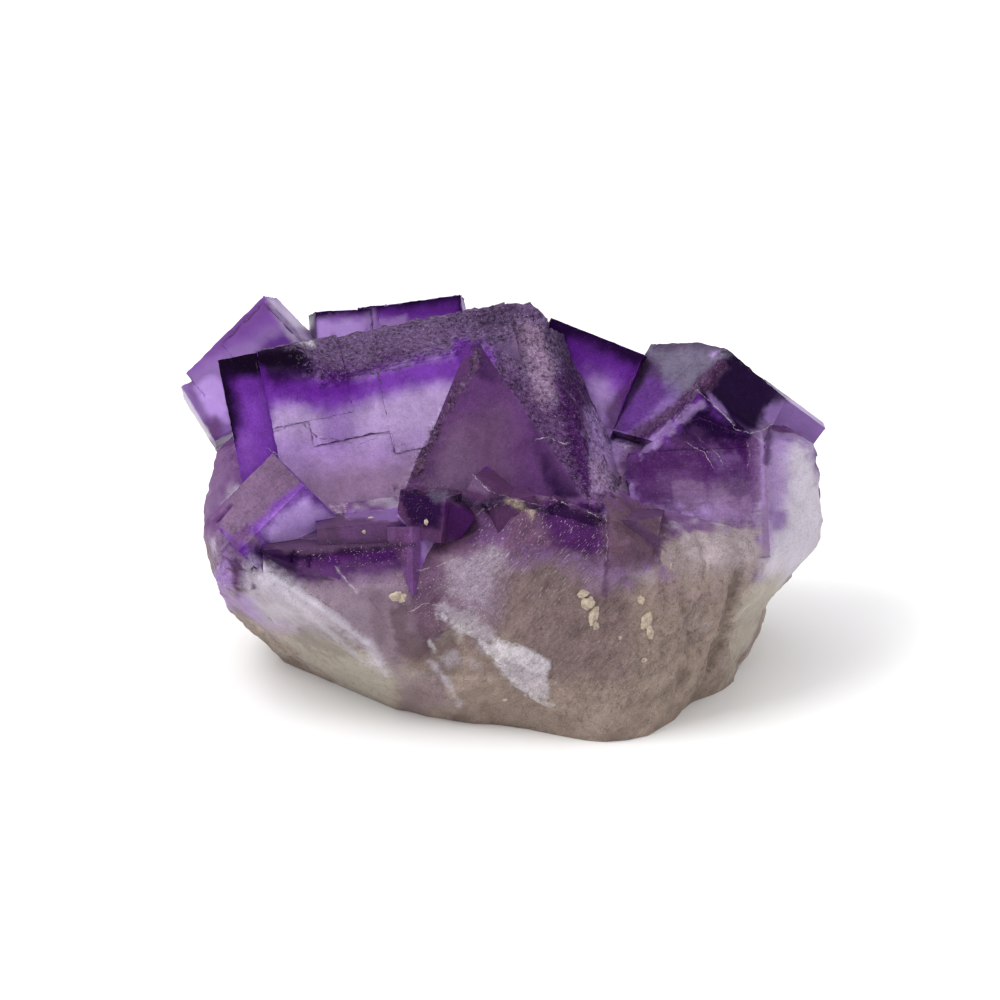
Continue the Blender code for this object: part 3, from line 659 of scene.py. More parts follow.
# Thin marks
MARK_WOBBLE = 0.7  # how far they stray
MARK_CORE = 0.2  # share of the half width that is whole
MARK_THERE = (0.01, 0.04)  # half widths below the first aren't drawn, and above the second they are in full
GAP_STEP = (0.36, 0.56)  # of the noise that breaks them

# The crystal itself
IOR = 1.434  # fluorite's
SPECULAR = 0.04  # a higher level puts haze on the dark faces
ABSORBED = (0.80, 0.66, 0.86, 1.0)  # colour of light that went through it
DENSITY = 20.0  # per metre
ROUGHNESS = {"crystal": 0.25, "rock": 0.15, "etching": 0.3, "fine": 0.12}
BUMP = (0.7, 0.35 * MM)  # strength and height
PIT_BUMP = (0.95, 0.06)  # of the pits where the surface is broken, and everywhere
STREAK_BUMP = (0.3, 0.08)  # of the streaks on the base, and everywhere

# Cream grains
GRAIN_HEIGHT = 0.6  # as a share of the smaller side
GRAIN_LUMPS = 0.28
GRAIN_SOFT = (0.5, 4.0, 0.6)
GRAIN_PITS = (0.2, 4.0, 0.7)
# painted highlights on the grains' raised bits, and painted shade in their hollows
GRAIN_HIGHLIGHTS = ("white", 0.6, 0.58, 0.7)
GRAIN_HOLLOWS = ("moss", 0.7, 0.42, 0.3)
GRAIN_ROUGHNESS = 0.45
GRAIN_BUMP = (0.6, 0.2 * MM)

# -------- floor and studio

FLOOR_HALF = 2.0  # metres
FLOOR_HEIGHT = -0.05 * MM  # just under the cluster
FLOOR_WHITE = 0.9
FLOOR_ROUGHNESS = 0.9
BRIGHT_WAY = (0.0, 0.75, 0.66)  # the studio is brightest behind and above the cluster
STUDIO_TURN = (-0.8, 0.9)  # where it is darkest and brightest, as a cosine to that way
STUDIO_POWER = (0.85, 1.2)
LIGHT_PLACE = (-0.25, -0.15, 0.45)  # metres
LIGHT_AIM = (0.0, 0.0, 0.02)
LIGHT_SIZE = 0.30
LIGHT_POWER = 1.5  # watts
CLIP = (0.01, 20.0)  # nearest and farthest that the camera sees, in metres


def linear(name):
    """A named colour as linear red, green and blue, by the sRGB rule."""
    value = np.array(COLOURS[name]) / 255.0
    return np.where(value <= 0.04045, value / 12.92, ((value + 0.055) / 1.055) ** 2.4)


def luminance(colours):
    """How light linear colours are."""
    return colours @ np.array((0.2126, 0.7152, 0.0722))


def ramp(low, high, value):
    """A smooth step from 0 at low to 1 at high; low may be the greater."""
    part = np.clip((value - low) / (high - low), 0.0, 1.0)
    return part * part * (3.0 - 2.0 * part)


def mixed(first, second, share):
    """Blends arrays of colours by an array of shares."""
    return first + (second - first) * share[:, None]


def noise_at(points, pitch, octaves, roughness, seed):
    """Smooth noise, from about -1 to 1, with features of this size."""
    moved = (points / pitch + seed).tolist()
    return np.array([noise.fractal(point, roughness, 2.0, octaves) for point in moved])


def view_pixels(points):
    """Where points are in the camera's view."""
    seen = points - AIM
    scale = PIXEL * (1.0 - seen @ VIEW_BACK / DISTANCE)
    middle = VIEW_SIZE / 2
    return middle + seen @ VIEW_RIGHT / scale, middle - seen @ VIEW_UP / scale


# -------- strokes


def places(text):
    """The points of a line or an outline."""
    return [tuple(int(number) for number in pair.split(",")) for pair in text.split()]


def line_offset(points, x, y):
    """For each place: how far it is from a line through these points, and that with a sign for the side."""
    best = np.full(len(x), np.inf)
    side = np.zeros(len(x))
    for (ax, ay), (bx, by) in zip(points, points[1:]):
        along = np.array((bx - ax, by - ay), float)
        part = np.clip(((x - ax) * along[0] + (y - ay) * along[1]) / (along @ along), 0.0, 1.0)
        far = np.hypot(x - ax - part * along[0], y - ay - part * along[1])
        nearer = far < best
        best[nearer] = far[nearer]
        cross = (x - ax) * along[1] - (y - ay) * along[0]
        side[nearer] = np.where(cross < 0.0, -far, far)[nearer]
    return best, side


def inside(points, x, y):
    """Whether each place is inside an outline."""
    within = np.zeros(len(x), bool)
    for (ax, ay), (bx, by) in zip(points, [*points[1:], points[0]]):
        if ay != by:
            across = ax + (y - ay) * (bx - ax) / (by - ay)
            within ^= ((ay > y) != (by > y)) & (x < across)
    return within


def area_distance(points):
    """How far a place is from an outline, less than 0 inside it."""

    def distance(x, y):
        far, _ = line_offset([*points, points[0]], x, y)
        return np.where(inside(points, x, y), -far, far)

    return distance


def band_distance(half_width, points):
    """How far a place is from a band along a line, less than 0 inside it."""
    return lambda x, y: line_offset(points, x, y)[0] - half_width


def strokes():
    """Every area, then every band: tint or finish, share, softness, raggedness, group and distance."""
    for *start, text in AREAS:
        yield (*start, area_distance(places(text)))
    for *start, half_width, text in BANDS:
        yield (*start, band_distance(half_width, places(text)))


def crisp_map():
    """Where the painting has crisp borders, as a grid of the view with a place each MAP_STEP pixels."""
    count = VIEW_SIZE // MAP_STEP
    column, row = np.meshgrid(np.arange(count), np.arange(count))
    x, y = column.ravel() * MAP_STEP, row.ravel() * MAP_STEP
    near = np.zeros(len(x), bool)
    for _, _, soft, ragged, _, distance in strokes():
        if soft <= SOFTEST:
            near |= np.abs(distance(x, y)) < soft + ragged + MAP_STEP / 2
    for _, _, text in MARKS:
        near |= line_offset(places(text), x, y)[0] < MARK_MARGIN
    return near.reshape(count, count)


# -------- the crystals' faces


def turned(turn):
    """The 3 x 3 matrix of a turn given in degrees."""
    return np.array(Euler([math.radians(angle) for angle in turn]).to_matrix())


def number_flat_faces(mesh):
    """Gives each flat face of the solid, made of neighbouring coplanar triangles, its own number."""
    layer = mesh.faces.layers.int.new("flat_face")
    for face in mesh.faces:
        face[layer] = -1
    count = 0
    for start in mesh.faces:
        if start[layer] >= 0:
            continue
        start[layer] = count
        reached = [start]
        while reached:
            face = reached.pop()
            for edge in face.edges:
                for other in edge.link_faces:
                    if other[layer] < 0 and other.normal.dot(start.normal) > FLAT:
                        other[layer] = count
                        reached.append(other)
        count += 1
    return layer


def etched_part(name, facing, over):
    """Which points are on a crystal's etched face; facing and over are in the crystal's axes."""
    way, depth, _ = ETCHED[name]
    aligned = facing @ (np.array(way) / np.linalg.norm(way)) > ETCH_ALIGNED
    return aligned & np.all(over <= ETCH_REACH, axis=1) & (np.max(over, axis=1) > -depth)


def crystal_faces(points, normals):
    """For each point on the solid: the number of its crystal and of the face, or BASE for both.

    A face's number is twice its axis, plus 1 on the positive side, or ETCHED_SIDE.
    """
    crystal = np.full(len(points), BASE)
    side = np.full(len(points), BASE)
    best = np.full(len(points), FACE_GAP)
    for index, (name, (centre, size, turn)) in enumerate(CRYSTALS.items()):
        axes = turned(turn)
        half = 0.5 * np.array(size)
        local = (points - centre) @ axes
        facing = normals @ axes
        over = np.abs(local) - half
        for axis in range(3):
            within = np.all(np.delete(over, axis, axis=1) <= FACE_REACH, axis=1)
            for sign in (-1, 1):
                gap = np.abs(sign * local[:, axis] - half[axis])
                good = within & (gap < best) & (sign * facing[:, axis] > FACE_ALIGNED)
                crystal[good], side[good], best[good] = index, 2 * axis + (sign > 0), gap[good]
        if name in ETCHED:
            good = etched_part(name, facing, over) & (crystal == BASE)
            if ETCHED[name][2]:
                good |= (crystal == index) & (side == TOP_SIDE)
            crystal[good], side[good] = index, ETCHED_SIDE
    left, right = ROOF_REACH
    pits = (crystal == BASE) & (points[:, 2] > ROOF_HEIGHT) & (points[:, 0] > left) & (points[:, 0] < right)
    crystal[pits], side[pits] = 0, ETCHED_SIDE
    return crystal, side


def rim_edges(mesh, layer):
    """The sharp outward edges round each flat face, as pairs of end points."""
    rims = {}
    for edge in mesh.edges:
        first, second = edge.link_faces
        if first[layer] == second[layer] or edge.calc_face_angle_signed() < RIM_TURN:
            continue
        for face in (first, second):
            rims.setdefault(face[layer], []).append([vert.co[:] for vert in edge.verts])
    return {key: np.array(value) for key, value in rims.items()}


# -------- the dense mesh


def welded_copy(node):
    """The CAD node's mesh as a closed bmesh in millimetres of the design frame."""
    mesh = bmesh.new()
    mesh.from_mesh(node.data)
    bmesh.ops.scale(mesh, vec=(1.0 / MM,) * 3, verts=mesh.verts)
    bmesh.ops.translate(mesh, vec=Vector(-SHIFT), verts=mesh.verts)
    bmesh.ops.remove_doubles(mesh, verts=mesh.verts, dist=WELD)
    return mesh


def long_edges(mesh, reach, crisp):
    """The edges that are longer than this reach and than is wanted there."""
    edges = mesh.edges[:]
    ends = np.array([[vert.co[:] for vert in edge.verts] for edge in edges])
    length = np.linalg.norm(ends[:, 0] - ends[:, 1], axis=1)
    facing = np.array([max(face.normal.dot(VIEW) for face in edge.link_faces) for edge in edges])
    seen = view_pixels(ends.mean(axis=1))
    x, y = (np.clip(place / MAP_STEP, 0, len(crisp) - 1).astype(int) for place in seen)
    limit = np.where(facing > FACING_FINE, FINE, COARSE)
    limit[(facing > FACING_CRISP) & crisp[y, x]] = CRISP
    chosen = (edges[index] for index in np.flatnonzero(length > np.maximum(reach, limit)))
    return [edge for edge in chosen if min(face.calc_area() for face in edge.link_faces) > SLIVER]


def refine(mesh, layer):
    """Halves the edges that are longer than wanted there, longest first, and evens out flat faces."""
    crisp = crisp_map()
    reach = FIRST_REACH
    while reach > CRISP:
        reach *= 0.5
        long = long_edges(mesh, reach, crisp)
        if long:
            bmesh.ops.bisect_edges(mesh, edges=long, cuts=1)
            bmesh.ops.triangulate(mesh, faces=[face for face in mesh.faces if len(face.verts) > 3])
        within = [edge for edge in mesh.edges if len({face[layer] for face in edge.link_faces}) == 1]
        bmesh.ops.beautify_fill(mesh, faces=mesh.faces[:], edges=within)


class Surface:
    """The dense mesh as arrays.

    points and triangles are the mesh. A spot is a vertex as one of its flat faces has it: corner gives each
    triangle corner's spot, and vertex and face each spot's vertex and flat face. crystal_of, side_of,
    normal_of and rims belong to the flat faces.
    """

    def __init__(self, node):
        mesh = welded_copy(node)
        layer = number_flat_faces(mesh)
        self.read_solid(mesh, layer)
        refine(mesh, layer)
        self.read_dense(mesh, layer)
        mesh.free()

    def read_solid(self, mesh, layer):
        """Finds the crystal, the side and the rims of each flat face."""
        number = np.array([face[layer] for face in mesh.faces])
        middles = np.array([face.calc_center_median() for face in mesh.faces])
        normals = np.array([face.normal for face in mesh.faces])
        areas = np.bincount(number, [face.calc_area() for face in mesh.faces])
        crystal, side = crystal_faces(middles, normals)
        pits = (middles[:, 2] > ROOF_HEIGHT) & (normals[:, 2] > ROOF_FACING) & (areas[number] < SMALL_FACE)
        crystal[pits], side[pits] = 0, ETCHED_SIDE
        self.count = len(areas)
        self.crystal_of = np.full(self.count, BASE)
        self.side_of = np.full(self.count, BASE)
        self.normal_of = np.zeros((self.count, 3))
        self.crystal_of[number] = crystal
        self.side_of[number] = side
        self.normal_of[number] = normals
        self.rims = rim_edges(mesh, layer)

    def read_dense(self, mesh, layer):
        """Reads the points, the triangles and the spots."""
        mesh.verts.index_update()
        self.points = np.array([vert.co for vert in mesh.verts])
        self.triangles = np.array([[vert.index for vert in face.verts] for face in mesh.faces])
        number = np.array([face[layer] for face in mesh.faces])
        keys, corner = np.unique(self.triangles * self.count + number[:, None], return_inverse=True)
        self.corner = corner.ravel()
        self.vertex = keys // self.count
        self.face = keys % self.count

    def rim_distance(self):
        """For each spot: how far it is from the rims of its flat face."""
        far = np.full(len(self.vertex), FAR)
        order = np.argsort(self.face, kind="stable")
        starts = np.searchsorted(self.face[order], np.arange(self.count + 1))
        for number, segments in self.rims.items():
            if self.crystal_of[number] == BASE and len(segments) < BASE_RIMS:
                continue
            rows = order[starts[number] : starts[number + 1]]
            here = self.points[self.vertex[rows]][:, None, :]
            start, end = segments[None, :, 0], segments[None, :, 1]
            along = end - start
            part = np.sum((here - start) * along, axis=2) / np.sum(along * along, axis=2)
            nearest = start + along * np.clip(part, 0.0, 1.0)[:, :, None]
            far[rows] = np.linalg.norm(here - nearest, axis=2).min(axis=1)
        return far

    def at_vertices(self, values):
        """The mean of the spots' values at each vertex."""
        count = len(self.points)
        return np.bincount(self.vertex, values, count) / np.bincount(self.vertex, minlength=count)

    def vertex_normals(self):
        """The outward way at each vertex."""
        a, b, c = (self.points[self.triangles[:, corner]] for corner in range(3))
        facing = np.cross(b - a, c - a)
        total = np.zeros_like(self.points)
        for corner in range(3):
            np.add.at(total, self.triangles[:, corner], facing)
        return total / np.linalg.norm(total, axis=1, keepdims=True)


# -------- tint and finish


def crystal_numbers(names):
    """The numbers of named crystals."""
    return [list(CRYSTALS).index(name) for name in names]


class Canvas:
    """Where every spot of the dense mesh is, and the tint, finishes and marks painted there."""

    def __init__(self, surface):
        self.points = surface.points[surface.vertex]
        self.crystal = surface.crystal_of[surface.face]
        self.side = surface.side_of[surface.face]
        self.rim = surface.rim_distance()
        self.x, self.y = view_pixels(self.points)
        self.cloud = noise_at(surface.points, *CLOUD)[surface.vertex]
        self.ragged = noise_at(surface.points, *RAGGED)[surface.vertex]
        on_crystals = ramp(*SEEN, (surface.normal_of @ VIEW_BACK)[surface.face])
        self.seen = np.where(self.crystal == BASE, self.base_seen(), on_crystals)
        count = len(self.points)
        self.tint = np.zeros((count, 3))
        self.finish = {name: np.zeros(count) for name in FINISHES}
        self.grain = self.grain_axes()
        self.marks = {kind: (np.zeros(count), np.zeros(count)) for kind in MARK_COLOURS}
        self.groups = {}

    def base_seen(self):
        """How much of the front's paint the base takes, with a ragged fade round its sides."""
        outward = (self.points - BASE_MIDDLE) / np.square(BASE_HALF)
        outward /= np.linalg.norm(outward, axis=1, keepdims=True)
        return ramp(-BASE_SEEN, BASE_SEEN, outward @ VIEW_BACK + BASE_RAGGED * self.cloud)

    def grain_axes(self):
        """Each place in its own crystal's axes, and on the base in axes turned along its cleavage."""
        right, up = CLEAVAGE
        along = np.array((right, 0.0, up))
        across = np.array((-up, 0.0, right))
        grain = np.column_stack((self.points @ along, self.points[:, 1], self.points @ across))
        for index, (centre, _, turn) in enumerate(CRYSTALS.values()):
            here = self.crystal == index
            grain[here] = (self.points[here] - centre) @ turned(turn) + GRAIN_SPREAD * index
        return grain

    def blend(self, colour, share):
        """Lays a named colour over the tint."""
        self.tint = mixed(self.tint, linear(colour), np.clip(share, 0.0, 1.0))

    def stroke(self, colour, share, soft, ragged, group, distance):
        """Lays a colour or a finish where a distance in pixels is below 0, with a soft and ragged edge."""
        here = self.group(group)
        far = distance(self.x[here], self.y[here]) + ragged * self.ragged[here]
        cover = share * ramp(soft, INNER_EDGE * soft, far) * self.seen[here]
        if colour in COLOURS:
            self.tint[here] = mixed(self.tint[here], linear(colour), cover)
        else:
            self.finish[colour][here] = np.maximum(self.finish[colour][here], cover)

    def mark(self, kind, half_width, points):
        """Keeps each spot's offset from the strongest thin mark of a kind there, and how strong it is."""
        here = self.group("")
        far, side = line_offset(points, self.x[here], self.y[here])
        offset, share = self.marks[kind]
        cover = half_width * ramp(*MARK_FADE, far)
        nearer = cover > share[here]
        share[here[nearer]] = cover[nearer]
        offset[here[nearer]] = side[nearer] * PIXEL

    def group(self, name):
        """The spots on a group's crystals that face the camera, or all that do."""
        if name not in self.groups:
            seen = self.seen > 0.0
            if name:
                seen &= np.isin(self.crystal, crystal_numbers(GROUPS[name]) or [BASE])
            self.groups[name] = np.flatnonzero(seen)
        return self.groups[name]


def paint_crystals(canvas):
    """Violet deepens towards the crystals' edges, and pales into their middles and down to the base."""
    height = canvas.points[:, 2] + DRIFT["crystals"] * canvas.cloud
    width = RIM_WIDTH + RIM_UNEVEN * canvas.cloud
    depth = np.exp(-((canvas.rim / width) ** RIM_POWER)) * ramp(*CROWN, height)
    canvas.tint[:] = linear("beige")
    canvas.blend("lilac", ramp(*LILAC_RISE, height))
    for colour, start, whole, uneven in EDGE_TINTS:
        canvas.blend(colour, ramp(start, whole, depth + EDGE_ROUGH * getattr(canvas, uneven)))


def paint_base(canvas):
    """The base goes from mauve at the top to beige, grey-green and pale patches."""
    height = canvas.points[:, 2] + DRIFT["base"] * canvas.cloud
    base = (canvas.crystal == BASE).astype(float)
    low = ramp(*LOW, height)
    canvas.finish["rock"] = base
    canvas.blend("clay", base)
    for colour, start, whole in BASE_TINTS:
        canvas.blend(colour, base * ramp(start, whole, height))
    share, start, whole = OLIVE
    canvas.blend("olive", base * share * ramp(start, whole, -canvas.cloud) * low)
    share, start, whole = FROST
    canvas.blend("frost", base * share * ramp(start, whole, canvas.cloud))
    canvas.finish["mottled"] = MOTTLED * base * low * (1.0 - canvas.seen)


def clear_crystal(canvas):
    """Pale crystal is partly see-through; its surface is tinted less, as light comes through it too."""
    broken = np.maximum(canvas.finish["etching"], canvas.finish["flaky"])
    most = CLEAREST - CLEAR_LOSS["rock"] * canvas.finish["rock"] - CLEAR_LOSS["broken"] * broken
    canvas.clear = most * ramp(*CLEAR_FROM, luminance(canvas.tint))
    own = (1.0 - canvas.clear)[:, None] * STUDIO
    through = canvas.clear[:, None] * THROUGH
    canvas.base = ((np.sqrt(through**2 + 4.0 * own * canvas.tint) - through) / (2.0 * own)) ** 2


def paint(surface):
    """The finished canvas."""
    canvas = Canvas(surface)
    paint_crystals(canvas)
    paint_base(canvas)
    canvas.finish["etching"] = (canvas.side == ETCHED_SIDE).astype(float)
    canvas.blend("etched", canvas.finish["etching"])
    canvas.finish["worn"] = np.isin(canvas.crystal, crystal_numbers(WORN)).astype(float)
    for stroke in strokes():
        canvas.stroke(*stroke)
    for kind, half_width, text in MARKS:
        canvas.mark(kind, half_width, places(text))
    clear_crystal(canvas)
    return canvas


# -------- relief


def chips_at(points, pitch):
    """Flat-sided chips: for each place the height of a tilted facet, from about -1 to 1."""
    heights = np.zeros(len(points))
    tilts, levels = CHIP_SPREAD
    for index, point in enumerate((points / pitch).tolist()):
        _, near = noise.voronoi(point)
        tilt = noise.noise_vector(near[0] * tilts)
        heights[index] = (Vector(point) - near[0]).dot(tilt) * CHIP_TILT + noise.noise(near[0] * levels)
    return heights


def edge_wear(surface, canvas, worn):
    """How much is worn off at each vertex."""
    points = surface.points
    edge = np.full(len(points), WEAR_END)
    np.minimum.at(edge, surface.vertex, canvas.rim)
    everywhere, more = EDGE_WEAR
    uneven = 1.0 + WEAR_UNEVEN * noise_at(points, *WEAR)
    return (everywhere + more * worn) * np.exp(-edge / WEAR_WIDTH) * uneven


def carve(surface, canvas):
    """Moves the vertices along their normals: pits, rocky relief, chips, grooves and worn edges."""
    points = surface.points
    finish = {name: surface.at_vertices(values) for name, values in canvas.finish.items()}
    rock = finish["rock"]
    rise = HEIGHTS["lumps"] * rock * noise_at(points, *ROCK_LUMPS)
    rise += HEIGHTS["chips"] * rock * chips_at(points, ROCK_CHIP)
    rise += HEIGHTS["pits"] * finish["etching"] * noise_at(points, *ETCH_PITS)
    rise -= edge_wear(surface, canvas, finish["worn"])
    rise += HEIGHTS["waves"] * (1.0 - rock) * noise_at(points, *WAVES)
    flaky = np.flatnonzero(finish["flaky"] > FLAKY_FROM)
    rise[flaky] += HEIGHTS["flakes"] * finish["flaky"][flaky] * chips_at(points[flaky], FLAKE_CHIP)
    rise *= 1.0 - CALMED * finish["calm"]
    rise += finish["lift"] - finish["groove"]
    rise *= ramp(0.0, FOOT, points[:, 2])
    surface.points = points + surface.vertex_normals() * rise[:, None]


# -------- the dressed pieces


def corner_values(mesh, name, kind, values):
    """Stores one value for each corner of the mesh."""
    layer = mesh.attributes.new(name, kind, "CORNER")
    key = {"FLOAT": "value", "FLOAT_VECTOR": "vector", "FLOAT_COLOR": "color"}[kind]
    layer.data.foreach_set(key, np.asarray(values, np.float32).ravel())


def dressed(name, data, material):
    """A mesh in the row frame as one piece that rides on the cluster."""
    data.materials.append(material)
    data.shade_smooth()
    data.set_sharp_from_angle(angle=SHARP)
    piece = bpy.data.objects.new(name, data)
    bpy.context.scene.collection.objects.link(piece)
    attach(piece, "root")
    return piece


def build_cluster(surface, canvas):
    """The dressed cluster, which stands for the CAD solid."""
    data = bpy.data.meshes.new("fluorite")
    data.from_pydata(((surface.points + SHIFT) * MM).tolist(), [], surface.triangles.tolist())
    corner = surface.corner
    lively = 1.0 - QUIETED * canvas.finish["calm"]
    corner_values(data, "tint", "FLOAT_COLOR", np.column_stack((canvas.base, lively))[corner])
    for name, parts in ATTRIBUTES.items():
        values = np.column_stack([canvas.finish[part] for part in parts])
        corner_values(data, name, "FLOAT_VECTOR", values[corner])
    corner_values(data, "clear", "FLOAT", canvas.clear[corner])
    corner_values(data, "grain", "FLOAT_VECTOR", canvas.grain[corner])
    for kind, (offset, share) in canvas.marks.items():
        corner_values(data, kind + "_mark", "FLOAT_VECTOR", np.column_stack((offset, share, share))[corner])
    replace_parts(dressed("fluorite", data, fluorite_material()), "fluorite_cluster")


def add_grain(joined, tree, x, y, wide, high, turn):
    """One cream grain, half sunk where the camera's ray through its pixel meets the surface."""
    eye = VIEW_BACK * DISTANCE + AIM
    aim = (x - VIEW_SIZE / 2) * PIXEL * VIEW_RIGHT - (y - VIEW_SIZE / 2) * PIXEL * VIEW_UP
    way = Vector(aim - VIEW_BACK * DISTANCE).normalized()
    place, normal, _, _ = tree.ray_cast(Vector(eye), way)
    right = Vector(VIEW_UP).cross(normal).normalized()
    axes = Matrix((right, normal.cross(right), normal)).transposed().to_4x4()
    spin = Matrix.Rotation(math.radians(turn), 4, "Z")
    size = Matrix.Diagonal((wide * PIXEL, high * PIXEL, GRAIN_HEIGHT * min(wide, high) * PIXEL, 1.0))
    verts = bmesh.ops.create_icosphere(joined, subdivisions=3, radius=1.0)["verts"]
    for vert in verts:
        vert.co *= 1.0 + GRAIN_LUMPS * noise.fractal(vert.co * 1.4 + Vector((x, y, 0.0)), 0.8, 2.0, 3)
    bmesh.ops.transform(joined, matrix=Matrix.Translation(place) @ axes @ spin @ size, verts=verts)


def build_grains(surface):
    """The cream grains on the front, as one piece."""
    tree = BVHTree.FromPolygons(surface.points.tolist(), surface.triangles.tolist())
    joined = bmesh.new()
    for grain in GRAINS:
        add_grain(joined, tree, *grain)
    bmesh.ops.translate(joined, vec=Vector(SHIFT), verts=joined.verts)
    bmesh.ops.scale(joined, vec=(MM,) * 3, verts=joined.verts)
    data = bpy.data.meshes.new("grains")
    joined.to_mesh(data)
    joined.free()
    dressed("grains", data, grain_material())


# -------- materials


class Nodes:
    """Builds the node tree of a material or a world, one call for each node."""

    def __init__(self, owner):
        owner.use_nodes = True
        self.tree = owner.node_tree

    def add(self, kind, inputs=(), out=0, **settings):
        """Makes a node; inputs are pairs of socket and value, and a value may be another node's output."""
        made = self.tree.nodes.new(kind)
        for key, value in settings.items():
            setattr(made, key, value)
        for place, value in inputs:
            self.feed(made.inputs[place], value)
        return made.outputs[out]

    def feed(self, socket, value):
        """Links or sets one socket."""
        if isinstance(value, bpy.types.NodeSocket):
            self.tree.links.new(value, socket)
        else:
            socket.default_value = value

    def connect(self, node, sockets):
        """Links or sets sockets of a node that the tree has from the start."""
        for name, value in sockets.items():
            self.feed(self.tree.nodes[node].inputs[name], value)

    def maths(self, operation, first, second=0.0, third=0.0):
        """One sum of up to three values."""
        return self.add("ShaderNodeMath", ((0, first), (1, second), (2, third)), operation=operation)

    def plus(self, first, second):
        """A sum."""
        return self.maths("ADD", first, second)

    def times(self, first, second):
        """A product."""
        return self.maths("MULTIPLY", first, second)

    def scaled_plus(self, value, factor, added):
        """A value times a factor, plus another value."""
        return self.maths("MULTIPLY_ADD", value, factor, added)

    def about(self, value, amount):
        """This amount of how far a value from 0 to 1 is from its middle."""
        return self.scaled_plus(self.maths("SUBTRACT", value, 0.5), amount, 0.0)

    def step(self, value, low, high):
        """A smooth step from 0 at low to 1 at high."""
        inputs = ((0, value), (1, low), (2, high), (3, 0.0), (4, 1.0))
        return self.add("ShaderNodeMapRange", inputs, interpolation_type="SMOOTHSTEP", clamp=True)

    def mix(self, share, first, second):
        """Blends two colours."""
        return self.add("ShaderNodeMix", ((0, share), (6, first), (7, second)), out=2, data_type="RGBA")

    def grain(self, place, pitch, detail, rough):
        """Noise from 0 to 1 with features of this many millimetres."""
        inputs = (("Vector", place), ("Scale", 1.0 / pitch), ("Detail", detail), ("Roughness", rough))
        return self.add("ShaderNodeTexNoise", inputs)

    def facets(self, place, pitch):
        """A value from 0 to 1 for each flat-sided patch of this many millimetres."""
        inputs = (("Vector", self.stretched(place, FACETED)), ("Scale", 1.0 / pitch))
        colour = self.add("ShaderNodeTexVoronoi", inputs, out=1)
        return self.add("ShaderNodeSeparateXYZ", ((0, colour),))

    def stretched(self, place, along):
        """Coordinates scaled by a factor on each axis."""
        return self.add("ShaderNodeVectorMath", ((0, place), (1, along)), operation="MULTIPLY")

    def scaled(self, vector, factor):
        """A vector scaled by one factor."""
        return self.add("ShaderNodeVectorMath", ((0, vector), (3, factor)), operation="SCALE")

    def attribute(self, name, out=1):
        """An attribute of the mesh: as a colour with out=0, a vector with 1 or a number with 2."""
        return self.add("ShaderNodeAttribute", out=out, attribute_name=name)

    def parts(self, attribute):
        """The three values of a vector attribute."""
        return self.add("ShaderNodeSeparateXYZ", ((0, self.attribute(attribute)),)).node.outputs

    def millimetres(self):
        """The place on the piece in millimetres."""
        return self.scaled(self.add("ShaderNodeTexCoord", out="Object"), 1.0 / MM)

    def bump(self, height, strength, distance):
        """A normal that is tilted by a height."""
        inputs = (("Strength", strength), ("Distance", distance), ("Height", height))
        return self.add("ShaderNodeBump", inputs)


def rgba(name):
    """A named colour for a colour socket."""
    return (*linear(name), 1.0)


